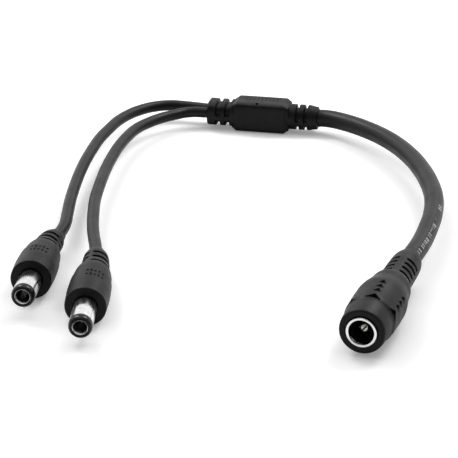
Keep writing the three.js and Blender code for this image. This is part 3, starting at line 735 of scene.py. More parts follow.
@dataclass
class Studio:
    """White sweep, two soft lamps behind the lead, one above it, and the photograph's camera."""

    eye: Place = (2.64, -489.97, 200.4)
    tilt: float = 22.4
    lens: float = 161.9
    sensor: float = 36.0
    clip: Point = (0.01, 50.0)
    floor_size: float = 6.0
    floor_cells: int = 8
    floor_drop: float = 0.00002
    floor_color: Color = (0.93, 0.93, 0.93)
    floor_roughness: float = 0.9
    floor_gloss: float = 0.1
    floor_glow: float = 0.22
    lamp_distance: float = 0.75
    # Name, direction from the lead (0 behind it, 90 on its right), height above the horizon,
    # side in metres and power in watts.
    lamps: tuple[tuple[str, float, float, float, float], ...] = (
        ("lamp_back_left", -42, 48, 0.28, 2.1),
        ("lamp_back_right", 44, 48, 0.28, 2.1),
        ("lamp_overhead", 0, 84, 0.7, 1.3),
    )
    room_light: Point = (0.25, 0.7)
    room_shine: Point = (0.25, 1.0)
    room_fade: Point = (-0.25, 0.3)

    def camera(self) -> None:
        """Make the camera at the photograph's height and tilt."""
        data = bpy.data.cameras.new("camera")
        data.lens = self.lens
        data.sensor_width = self.sensor
        data.clip_start, data.clip_end = self.clip
        camera = linked("camera", data)
        camera.location = Vector(self.eye) * MM
        camera.rotation_euler = (math.radians(90 - self.tilt), 0, 0)
        bpy.context.scene.camera = camera

    def lamp(self, name: str, turn: float, rise: float, size: float, power: float) -> None:
        """Add a square lamp that looks at the middle of the lead.

        Args:
            name: Its name.
            turn: Direction from the lead in degrees, 0 behind it and 90 on its right.
            rise: Height above the horizon, in degrees.
            size: Side of the lamp, in metres.
            power: Its power, in watts.
        """
        data = bpy.data.lights.new(name, "AREA")
        data.shape = "SQUARE"
        data.size = size
        data.energy = power
        lamp = linked(name, data)
        a, e = math.radians(turn), math.radians(rise)
        towards = Vector((math.sin(a) * math.cos(e), math.cos(a) * math.cos(e), math.sin(e)))
        lamp.location = towards * self.lamp_distance
        lamp.rotation_euler = towards.to_track_quat("Z", "Y").to_euler()

    def floor(self) -> None:
        """Make the white floor, which keeps the shadows and reads as white to the camera."""
        mesh = bmesh.new()
        bmesh.ops.create_grid(mesh, x_segments=self.floor_cells, y_segments=self.floor_cells,
                              size=self.floor_size / 2)
        data = bpy.data.meshes.new("floor")
        mesh.to_mesh(data)
        mesh.free()
        nodes = Nodes("floor_paper")
        nodes.shader.inputs["Base Color"].default_value = (*self.floor_color, 1)
        nodes.set(Roughness=self.floor_roughness, Specular_IOR_Level=self.floor_gloss)
        nodes.shader.inputs["Emission Color"].default_value = WHITE
        seen = nodes.add("ShaderNodeLightPath").outputs["Is Camera Ray"]
        nodes.link(nodes.remap(seen, UNIT, (0, self.floor_glow)),
                   nodes.shader.inputs["Emission Strength"])
        data.materials.append(nodes.material)
        floor = linked("floor", data)
        floor.location.z = -self.floor_drop

    def world(self) -> None:
        """Light the room softly, bright behind and dim in front, and white to the camera."""
        world = bpy.data.worlds.new("room")
        bpy.context.scene.world = world
        world.use_nodes = True
        world.node_tree.nodes.clear()
        tree = Tree(world.node_tree)
        axes = tree.add("ShaderNodeSeparateXYZ")
        tree.link(tree.add("ShaderNodeTexCoord").outputs["Generated"], axes.inputs["Vector"])
        light, shine = (
            tree.background(tree.remap(axes.outputs["Y"], self.room_fade, levels, "SMOOTHSTEP"))
            for levels in (self.room_light, self.room_shine))
        ray = tree.add("ShaderNodeLightPath").outputs
        room = tree.mix(ray["Is Glossy Ray"], light, shine)
        shown = tree.mix(ray["Is Camera Ray"], room, tree.background())
        tree.link(shown, tree.add("ShaderNodeOutputWorld").inputs["Surface"])

    def build(self) -> None:
        """Make the camera, floor, lamps and world."""
        self.camera()
        self.floor()
        for lamp in self.lamps:
            self.lamp(*lamp)
        self.world()
        bpy.context.scene.view_settings.view_transform = "Standard"


# Cables


@dataclass
class Cable:
    """One jacketed cable, laid through given points. Its sizes are in metres."""

    name: str
    node: str
    diameter: float
    length: float
    start: Sequence[Vector]
    route: Sequence[Place]
    end: Sequence[Vector]
    steps: int = 16
    ring_steps: int = 12

    def line(self) -> list[Vector]:
        """Return every point of the route, in metres."""
        return [*self.start, *(Vector(point) for point in self.route), *self.end]

    def build(self) -> None:
        """Lay the cable as one smooth curve."""
        data = bpy.data.curves.new(self.name, "CURVE")
        data.dimensions = "3D"
        data.resolution_u = self.steps
        data.render_resolution_u = self.steps
        data.bevel_depth = self.diameter / 2
        data.bevel_resolution = self.ring_steps
        data.use_fill_caps = True
        points = self.line()
        spline = data.splines.new("BEZIER")
        spline.bezier_points.add(len(points) - 1)
        for knot, place in zip(spline.bezier_points, points):
            knot.co = place
            knot.handle_left_type = "AUTO"
            knot.handle_right_type = "AUTO"
        data.materials.append(FINISHES.get(JACKET))
        piece = linked(self.name, data)
        seat(piece, Slot.JACKET, f"{self.node}_jacket")


# Where the cables' end points lie inside their connectors, in millimetres along each axis
PLUG_HOLD: Point = (36.5, 40.5)
BRANCH_HOLD: Point = (0.0, 4.5)
BRANCH_ASIDE = 1.65
TRUNK_HOLD = 27.0
SOCKET_HOLD = 36.0

# Diameters and lengths in metres
BRANCH_DIAMETER, TRUNK_DIAMETER = 0.0031, 0.005
LENGTH_A, LENGTH_B, LENGTH_TRUNK = 0.127, 0.129, 0.129

TRUNK_ROUTE: list[Place] = [
    (0.0296, 0.0690, 0.0044), (0.0320, 0.0676, 0.0046), (0.0344, 0.0654, 0.0048),
    (0.0380, 0.0610, 0.0052), (0.0419, 0.0555, 0.0055), (0.0455, 0.0492, 0.0058),
    (0.0488, 0.0418, 0.0060), (0.0515, 0.0334, 0.0062), (0.0536, 0.0238, 0.0063),
    (0.0549, 0.0133, 0.0064), (0.0552, 0.0024, 0.0064), (0.0540, -0.0089, 0.0063),
    (0.0518, -0.0190, 0.0062), (0.0493, -0.0279, 0.0061),
]
ROUTE_A: list[Place] = [
    (-0.0386, -0.0120, 0.0044), (-0.0384, -0.0050, 0.0046), (-0.0383, 0.0027, 0.0048),
    (-0.0380, 0.0105, 0.0049), (-0.0375, 0.0186, 0.0050), (-0.0368, 0.0267, 0.0051),
    (-0.0358, 0.0348, 0.0052), (-0.0346, 0.0428, 0.0052), (-0.0331, 0.0507, 0.0052),
    (-0.0311, 0.0582, 0.0051), (-0.0289, 0.0649, 0.0051), (-0.0264, 0.0701, 0.0050),
    (-0.0234, 0.0744, 0.0049), (-0.0194, 0.0782, 0.0047), (-0.0146, 0.0802, 0.0045),
    (-0.0092, 0.0794, 0.0044),
]
ROUTE_B: list[Place] = [
    (-0.0300, -0.0270, 0.0056), (-0.0308, -0.0204, 0.0055), (-0.0314, -0.0132, 0.0055),
    (-0.0317, -0.0055, 0.0055), (-0.0318, 0.0028, 0.0055), (-0.0314, 0.0111, 0.0054),
    (-0.0308, 0.0195, 0.0054), (-0.0300, 0.0280, 0.0053), (-0.0289, 0.0364, 0.0052),
    (-0.0275, 0.0446, 0.0051), (-0.0256, 0.0523, 0.0050), (-0.0233, 0.0590, 0.0049),
    (-0.0204, 0.0642, 0.0047), (-0.0171, 0.0683, 0.0046), (-0.0134, 0.0715, 0.0045),
    (-0.0086, 0.0744, 0.0044),
]


@dataclass
class TrunkPrint:
    """Row of plain printed bars along the trunk, in metres, where its type print would be."""

    line: Sequence[Vector]
    first: float = 0.0855
    pitch: float = 0.0013
    count: int = 28
    group: int = 13
    fill: float = 0.8
    shares: tuple[float, ...] = (0.8, 0.35, 0.6, 0.35, 0.8, 0.8, 0.35, 0.6)
    height: float = 0.0011
    radius: float = 0.0025
    lift: float = 0.00002
    thickness: float = 0.00003
    cells: tuple[int, int] = (2, 8)
    facing: Place = (0.62, -0.45, 0.65)

    def walk(self, distance: float) -> tuple[Vector, Vector]:
        """Point and direction of the trunk's smooth line.

        Args:
            distance: Metres along it.

        Returns:
            The point and the unit direction there.
        """
        left = distance
        for i, (a, b) in enumerate(zip(self.line, self.line[1:])):
            run = (b - a).length
            if left <= run:
                before = self.line[max(0, i - 1)]
                after = self.line[min(len(self.line) - 1, i + 2)]
                into, out = (b - before).normalized(), (after - a).normalized()
                t = left / run
                shift = (into * (1 - t) - out * t) * t * (1 - t) * run
                return a.lerp(b, t) + shift * 0.5, into.lerp(out, t).normalized()
            left -= run
        raise ValueError("the print runs past the trunk")

    def build(self) -> None:
        """Lay each bar on the jacket as a small bent patch, with a gap after each group."""
        mesh = bmesh.new()
        for i in range(self.count):
            if i % self.group == self.group - 1:
                continue
            long = self.pitch * self.fill * self.shares[i % len(self.shares)]
            self.bar(mesh, self.first + i * self.pitch, long)
        bmesh.ops.recalc_face_normals(mesh, faces=mesh.faces)
        settle(mesh, "trunk_print", Matrix.Identity(4), INK, Slot.JACKET)

    def bar(self, mesh: bmesh.types.BMesh, start: float, long: float) -> None:
        """Add one bar.

        Args:
            mesh: The mesh that takes it.
            start: Where it begins along the trunk, in metres.
            long: Its length, in metres.
        """
        x_cells, y_cells = self.cells
        made = bmesh.ops.create_grid(mesh, x_segments=x_cells, y_segments=y_cells, size=0.5)["verts"]
        half = self.height / self.radius / 2
        facing = Vector(self.facing)
        for vert in made:
            point, along = self.walk(start + (vert.co.x + 0.5) * long)
            out = (facing - along * facing.dot(along)).normalized()
            side = along.cross(out)
            turn = vert.co.y * 2 * half
            vert.co = point + (out * math.cos(turn) + side * math.sin(turn)) * (self.radius + self.lift)
        faces = list({face for vert in made for face in vert.link_faces})
        bmesh.ops.solidify(mesh, geom=faces, thickness=self.thickness)


# Connectors


@dataclass
class Plug:
    """Barrel plug: moulded body, plated sleeve, black nose and flared centre contact."""

    name: str
    place: Placement
    flex: float
    spine_angle: float
    mark_angle: float
    outline: Outline = Outline((
        (11.25, 4.88), (13.6, 4.98), (16.4, 5.07), (19.0, 5.02), (21.6, 4.93), (22.3, 4.88)))
    neck: Outline = Outline((
        (22.5, 4.66), (23.7, 4.62), (25.7, 4.5), (27.0, 4.32), (28.3, 4.05), (29.6, 3.75),
        (31.2, 3.45), (34.0, 3.28), (36.6, 3.05), (38.0, 2.68), (39.4, 2.25), (40.5, 1.96),
        (41.5, 1.78)))
    crease: Point = (22.3, 22.5)
    face: float = 10.8
    face_edge: float = 0.45
    end: float = 41.5
    flex_start: float = 28.5
    skin: float = 4.5  # what lies further out is reshaped
    coarse: float = 0.35
    fine: tuple[Place, ...] = (
        (10.8, 11.25, 0.06), (17.3, 21.3, 0.1), (22.2, 22.6, 0.1), (27.5, 35.3, 0.09))
    segments: int = 240
    sleeve: float = 2.75
    bore_gap: float = 0.13
    bore_edge: float = 0.12
    face_rings: Point = (3.5, 4.2)
    cavity: Place = (11.85, 25.0, 27.15)  # its start, where it narrows and its end
    cavity_radii: Point = (3.75, 3.25)
    jacket: float = 1.55
    jacket_gap: float = 0.06
    grooves: tuple[float, ...] = (28.3, 31.7, 34.5)
    groove_width: float = 1.12
    groove_depth: float = 0.82
    groove_soft: float = 0.16
    spine: float = 18.0
    spine_fade: Point = (-1, 2.5)
    mark_run: Point = (17.0, 21.6)
    mark_rows: Point = (18.2, 20.3)
    mark_columns: int = 2
    mark_pitch: float = 0.95
    mark_long: Point = (0.45, 0.72)  # half lengths of even and odd columns
    mark_half: float = 0.2
    mark_depth: float = 0.24
    mark_soft: Point = (0.16, 0.14)
    seam_sides: Point = (90, -90)
    seam_half: float = 0.9
    seam_soft: float = 1.2
    seam_height: float = 0.03
    seam_start: Point = (11.3, 12.0)
    sleeve_steps: int = 160
    contact_steps: int = 128
    nose_steps: int = 144
    tail_size: Place = (0.4, 5.2, 1.6)
    tail_at: Place = (0.95, 19.2, 0)

    def radius(self, along: float, turn: float) -> float:
        """Outer radius of the moulded body.

        Args:
            along: Distance from the tip.
            turn: Angle about the axis, in degrees.

        Returns:
            The radius there.
        """
        if along < self.face + self.face_edge:
            return self.outline.points[0][1] - rounding(along - self.face, self.face_edge)
        share = smooth_step(*self.crease, along)
        size = self.outline.radius(along) * (1 - share) + self.neck.radius(along) * share
        return size - self.groove(along, turn) - self.mark(along, turn, size) + self.seam(along, turn)

    def groove(self, along: float, turn: float) -> float:
        """Depth of the strain relief's slots, which two spines interrupt.

        Args:
            along: Distance from the tip.
            turn: Angle about the axis, in degrees.

        Returns:
            The depth there.
        """
        band = slot_band(self.grooves, along, self.groove_width, self.groove_soft)
        if band == 0:
            return 0.0
        aside = angle_from(turn, (self.spine_angle, self.spine_angle + 180))
        low, high = (self.spine / 2 + fade for fade in self.spine_fade)
        return self.groove_depth * band * smooth_step(low, high, aside)

    def mark(self, along: float, turn: float, size: float) -> float:
        """Depth of the plain sunk marks on top of the body.

        Args:
            along: Distance from the tip.
            turn: Angle about the axis, in degrees.
            size: Radius there without the marks.

        Returns:
            The depth there.
        """
        across = math.radians(angle_between(turn, self.mark_angle)) * size
        column = round(across / self.mark_pitch)
        low, high = self.mark_run
        if abs(column) > self.mark_columns or not low < along < high:
            return 0.0
        bar = min(abs(along - place) for place in self.mark_rows)
        soft_end, soft_side = self.mark_soft
        beside = window(across, column * self.mark_pitch, self.mark_half, soft_side)
        return self.mark_depth * window(bar, 0, self.mark_long[column % 2], soft_end) * beside

    def seam(self, along: float, turn: float) -> float:
        """Return the height of the fine parting line on both sides of the body at a place."""
        line = window(angle_from(turn, self.seam_sides), 0, self.seam_half, self.seam_soft)
        return self.seam_height * line * smooth_step(*self.seam_start, along)

    def bend(self, along: float, across: float = 0.0) -> Point:
        """Place on the strain relief once it is bent sideways.

        Args:
            along: Distance from the tip before the bend.
            across: Distance beside the axis before the bend.

        Returns:
            The distance beside the axis and along it after the bend.
        """
        past = along - self.flex_start
        if past <= 0:
            return across, along
        angle = math.radians(self.flex)
        run = self.end - self.flex_start
        turn = angle * past / run
        arc = run / angle
        return (arc * (1 - math.cos(turn)) + across * math.cos(turn),
                self.flex_start + arc * math.sin(turn) - across * math.sin(turn))

    def exit(self, along: float) -> Vector:
        """Return a point on the bent cable line, in metres, by its distance from the tip."""
        return self.place.point((*self.bend(along), 0))

    def body(self) -> None:
        """Make the moulded body with its real bore."""
        hole = self.sleeve + self.bore_gap
        wide, narrow = self.cavity_radii
        front, shoulder, back = self.cavity
        cable = self.jacket + self.jacket_gap
        start = self.outline.points[0][1]
        outer = [(place, start) for place in rows(self.face, self.end, self.coarse, self.fine)]
        bore = [
            (self.end, cable), (back, cable), (back, narrow), (shoulder, wide), (front, wide),
            (front, hole), (self.face + self.bore_edge, hole), (self.face, hole + self.bore_edge),
            *((self.face, ring) for ring in self.face_rings),
        ]
        mesh = spun([*outer, *bore], self.segments, True)
        reshape(mesh, self.face, self.end, self.skin, self.radius)
        for vert in mesh.verts:
            vert.co.x, vert.co.y = self.bend(vert.co.y, vert.co.x)
        settle(mesh, f"{self.name}_body", self.place.matrix(), MOULDED, Slot.MOULDED,
               f"{self.name}_overmould")

    def metal(self) -> None:
        """Make the plated sleeve and the flared centre contact with its solder tail."""
        plated = PlatedFinish(f"{self.name}_plate", turn=self.place.yaw)
        sleeve = spun([
            (2.06, 2.42), (2.0, 2.48), (2.0, 2.68), (2.07, self.sleeve), (9.0, self.sleeve),
            (15.95, self.sleeve), (16.0, 2.7), (16.0, 2.42),
        ], self.sleeve_steps, True)
        settle(sleeve, f"{self.name}_sleeve_tube", self.place.matrix(), plated, Slot.NICKEL,
               f"{self.name}_sleeve")
        contact = spun([
            (14.5, 0), (14.5, 1.1), (14.3, 1.28), (1.9, 1.28), (1.5, 1.29), (1.15, 1.36),
            (0.75, 1.52), (0.42, 1.66), (0.3, 1.73), (0.26, 1.8), (0.3, 1.86), (0.4, 1.88),
            (0.62, 1.87), (1.1, 1.74), (1.45, 1.6), (1.8, 1.58), (16.8, 1.58), (16.9, 1.5), (16.9, 0),
        ], self.contact_steps, False)
        tail = bmesh.ops.create_cube(contact, size=1.0)["verts"]
        bmesh.ops.scale(contact, verts=tail, vec=self.tail_size)
        bmesh.ops.translate(contact, verts=tail, vec=self.tail_at)
        settle(contact, f"{self.name}_flared_contact", self.place.matrix(), plated, Slot.CONTACT,
               f"{self.name}_centre_contact")

    def nose(self) -> None:
        """Make the black bull nose and the liner behind it."""
        mesh = spun([
            (0.22, 1.99), (0.06, 2.02), (0.0, 2.1), (0.02, 2.2), (0.12, 2.36), (0.32, 2.53),
            (0.6, 2.67), (0.95, 2.75), (1.3, 2.78), (1.82, 2.78), (1.9, 2.73), (1.9, 2.25),
            (15.85, 2.25), (15.85, 1.74), (1.6, 1.74), (1.2, 1.86), (0.75, 1.99),
        ], self.nose_steps, True)
        settle(mesh, f"{self.name}_nose", self.place.matrix(), POLISHED, Slot.INSULATOR,
               f"{self.name}_insulator")

    def build(self) -> None:
        """Make every piece of the plug."""
        self.body()
        self.metal()
        self.nose()


@dataclass
class Socket:
    """Inline barrel socket: gripped body, plated shell, black liner and slotted pin."""

    place: Placement
    band: Outline = Outline(((0.0, 5.22), (0.8, 5.4), (4.5, 5.6), (8.6, 5.7)))
    grip: Outline = Outline((
        (4.0, 5.93), (7.6, 6.0), (12.0, 6.1), (16.0, 6.1), (18.0, 5.9), (20.0, 5.52), (21.7, 5.24)))
    neck: Outline = Outline((
        (21.9, 5.12), (24.5, 4.93), (25.5, 4.7), (26.4, 4.33), (27.0, 4.07), (27.5, 3.98),
        (38.8, 3.7), (41.0, 3.38), (42.5, 3.0), (43.2, 2.72)))
    crease: Point = (21.7, 21.9)
    face_edge: float = 0.3
    end: float = 43.2
    blank: float = 5.3
    skin: float = 4.9  # what lies further out is reshaped
    coarse: float = 0.38
    fine: tuple[Place, ...] = (
        (0, 0.3, 0.06), (6.05, 8.6, 0.06), (9.6, 16.1, 0.1), (21.6, 22.0, 0.1), (26.9, 35.8, 0.09))
    segments: int = 276
    ring: float = 3.62
    ring_gap: float = 0.12
    ring_edge: float = 0.15
    face_rings: Point = (4.3, 4.6)
    cavity: Place = (2.85, 18.0, 22.75)  # its start, where it narrows and its end
    cavity_radii: Point = (4.62, 3.85)
    trunk: float = 2.5
    trunk_gap: float = 0.07
    grip_start: float = 4.0
    grip_rows: int = 6
    grip_radius: float = 6.0
    first_row: float = 7.0
    step_at: float = 6.55
    step_run: Point = (5.3, 6.75)
    arrow_base: float = 6.3
    arrow_tip: float = 8.3
    arrow_half: float = 1.75
    arrow_curve: float = 1.25
    arrow_lean: float = 0.12
    arrow_soft: float = 0.08
    arrow_side: float = 0.12
    pocket: float = 0.62
    triangles: tuple[float, ...] = (10.5, 12.8, 15.2)
    triangle_long: float = 1.6
    triangle_half: float = 0.85
    triangle_depth: float = 0.5
    triangle_sides: Point = (-0.07, 0.09)
    triangle_base: Point = (-0.05, 0.07)
    slots: tuple[float, ...] = (27.55, 30.2, 32.7, 35.1)
    slot_width: float = 1.0
    slot_depth: float = 0.9
    slot_soft: float = 0.14
    slot_half: float = 31.0
    slot_fade: Point = (-3, 1)
    first_slot: float = 51.0
    shell_steps: int = 176
    pin_steps: int = 72
    pin_radius: float = 1.22
    pin_slot: float = 0.36
    pin_turn: float = 130.0
    pin_run: Place = (1.8, 5.8, 14.5)
    pin_root: float = 0.02
    pin_dome: tuple[Point, ...] = ((0.97, 0.3), (0.88, 0.27), (0.72, 0.22), (0.5, 0.14), (0.22, 0.07))
    liner_steps: int = 144
    liner_radius: float = 2.85
    liner_slack: float = 0.02
    leaf_turn: float = 90.0
    leaf_half: float = 19.0
    leaf_start: float = 2.85
    leaf_radius: float = 2.97

    def radius(self, along: float, turn: float) -> float:
        """Outer radius of the moulded body.

        Args:
            along: Distance from the face.
            turn: Angle about the axis, in degrees.

        Returns:
            The radius there.
        """
        row = min((angle_between(turn, self.first_row + i * 360 / self.grip_rows)
                   for i in range(self.grip_rows)), key=abs)
        across = math.radians(row) * self.grip_radius
        size = self.band.radius(along)
        if along > self.grip_start:
            size += (self.grip.radius(along) - size) * smooth_step(*self.step_run, along)
            size -= self.arrow(along, across)
        if along > self.crease[0]:
            share = smooth_step(*self.crease, along)
            size += (self.neck.radius(along) - size) * share
        size -= rounding(along, self.face_edge)
        return size - self.triangle(along, across) - self.slot_cut(along, turn)

    def arrow(self, along: float, across: float) -> float:
        """Depth of the arrow pocket that interrupts the step.

        Args:
            along: Distance from the face.
            across: Distance beside the middle of the row.

        Returns:
            The depth there.
        """
        aside = abs(across)
        if aside > self.arrow_half or along > self.arrow_tip + self.arrow_soft:
            return 0.0
        reach = 1 - aside / self.arrow_half
        tip = self.step_at + (self.arrow_tip - self.step_at) * reach ** self.arrow_curve
        front = self.arrow_base + self.arrow_lean * reach
        soft = (-self.arrow_soft, self.arrow_soft)
        inside = (1 - smooth_step(*soft, along - tip)) * smooth_step(*soft, along - front)
        body = self.grip.radius(along) - self.band.radius(along)
        depth = self.pocket + body * smooth_step(*self.step_run, along)
        return depth * inside * smooth_step(0, self.arrow_side, self.arrow_half - aside)

    def triangle(self, along: float, across: float) -> float:
        """Depth of the small triangles behind each arrow.

        Args:
            along: Distance from the face.
            across: Distance beside the middle of the row.

        Returns:
            The depth there.
        """
        nearest = min(self.triangles, key=lambda place: abs(place - along))
        reach = (along - nearest) / self.triangle_long + 0.5
        half = self.triangle_half * (1 - reach)
        inside = smooth_step(*self.triangle_sides, half - abs(across))
        return self.triangle_depth * inside * smooth_step(*self.triangle_base, reach)

    def slot_cut(self, along: float, turn: float) -> float:
        """Depth of the strain relief's slots, in four columns.

        Args:
            along: Distance from the face.
            turn: Angle about the axis, in degrees.

        Returns:
            The depth there.
        """
        band = slot_band(self.slots, along, self.slot_width, self.slot_soft)
        if band == 0:
            return 0.0
        aside = angle_from(turn, [self.first_slot + 90 * i for i in range(4)])
        low, high = (self.slot_half + fade for fade in self.slot_fade)
        return self.slot_depth * band * (1 - smooth_step(low, high, aside))

    def body(self) -> None:
        """Make the moulded body with its real bore."""
        hole = self.ring + self.ring_gap
        wide, narrow = self.cavity_radii
        front, shoulder, back = self.cavity
        cable = self.trunk + self.trunk_gap
        outer = [(place, self.blank) for place in rows(0, self.end, self.coarse, self.fine)]
        bore = [
            (self.end, cable), (back, cable), (back, narrow), (shoulder, wide), (front, wide),
            (front, hole), (self.ring_edge, hole), (0.0, hole + self.ring_edge),
            *((0.0, ring) for ring in self.face_rings),
        ]
        mesh = spun([*outer, *bore], self.segments, True)
        reshape(mesh, 0, self.end, self.skin, self.radius)
        settle(mesh, "socket_body", self.place.matrix(), MOULDED, Slot.MOULDED, "socket_overmould")

    def metal(self) -> None:
        """Make the plated shell with its rim, and the slotted pin."""
        shell = spun([
            (-0.33, 2.94), (-0.42, 3.0), (-0.45, 3.08), (-0.45, 3.42), (-0.42, 3.5),
            (-0.34, 3.55), (0.3, 3.56), (0.6, self.ring), (6.0, self.ring), (14.0, self.ring),
            (14.0, 3.28), (0.85, 3.28), (0.8, 3.2), (0.8, 2.9),
        ], self.shell_steps, True)
        settle(shell, "socket_rim_shell", self.place.matrix(),
               PlatedFinish("socket_plate", turn=self.place.yaw), Slot.NICKEL, "socket_shell")
        # Painted shade: the pin's plating is coloured darker than the shell's so that its end reads dim
        # deep inside the mouth.
        turned = PlatedFinish("pin_plate", (0.6, 0.59, 0.56), (0.4, 0.39, 0.36), (0.2, 0.36),
                              self.place.yaw)
        settle(self.pin(), "socket_slotted_pin", self.place.matrix(), turned, Slot.CONTACT,
               "socket_centre_pin")

    def pin(self) -> bmesh.types.BMesh:
        """Pin with a diagonal slot across its rounded end.

        Returns:
            The mesh, in millimetres.
        """
        radius, (start, slot_end, end) = self.pin_radius, self.pin_run
        root = slot_end - self.pin_root
        mesh = spun([(root, 0), (root, radius - self.pin_root), (slot_end, radius), (end, radius),
                     (end, 0)], self.pin_steps, False)
        along = start + sum(rise for _, rise in self.pin_dome)
        tip = [(slot_end, 0.0), (slot_end, radius), (along, radius)]
        for share, rise in self.pin_dome:
            along -= rise
            tip.append((along, radius * share))
        tip.append((along, 0.0))
        for turn in (self.pin_turn, self.pin_turn + 180):
            half = spun(tip, self.pin_steps, False)
            away = Vector((math.sin(math.radians(turn)), 0, math.cos(math.radians(turn))))
            geometry = [*half.verts, *half.edges, *half.faces]
            cut = bmesh.ops.bisect_plane(half, geom=geometry, plane_co=away * (self.pin_slot / 2),
                                         plane_no=away, clear_inner=True)["geom_cut"]
            edges = [item for item in cut if isinstance(item, bmesh.types.BMEdge)]
            bmesh.ops.holes_fill(half, edges=edges, sides=0)
            bmesh.ops.recalc_face_normals(half, faces=half.faces)
            copy = bpy.data.meshes.new("pin_half")
            half.to_mesh(copy)
            half.free()
            mesh.from_mesh(copy)
            bpy.data.meshes.remove(copy)
        return mesh

    def liner(self) -> None:
        """Make the black liner and floor, hollowed beside the leaf contact."""
        mesh = spun([
            (0.95, 2.88), (0.95, 3.08), (14.0, 3.08), (14.0, 1.38), (11.0, 1.38), (11.0, 2.3),
            *((place, self.liner_radius) for place in (10.9, 8.0, 5.0, 2.9, 2.8)),
        ], self.liner_steps, True)
        for vert in mesh.verts:
            x, along, z = vert.co
            size = math.hypot(x, z)
            aside = abs(angle_between(math.degrees(math.atan2(x, z)), self.leaf_turn))
            bore = abs(size - self.liner_radius) < self.liner_slack
            if bore and along > self.leaf_start and aside < self.leaf_half:
                vert.co = (x * self.leaf_radius / size, along, z * self.leaf_radius / size)
        settle(mesh, "socket_liner", self.place.matrix(), POLISHED, Slot.INSULATOR, "socket_insert")

    def build(self) -> None:
        """Make every piece of the socket."""
        self.body()
        self.metal()
        self.liner()


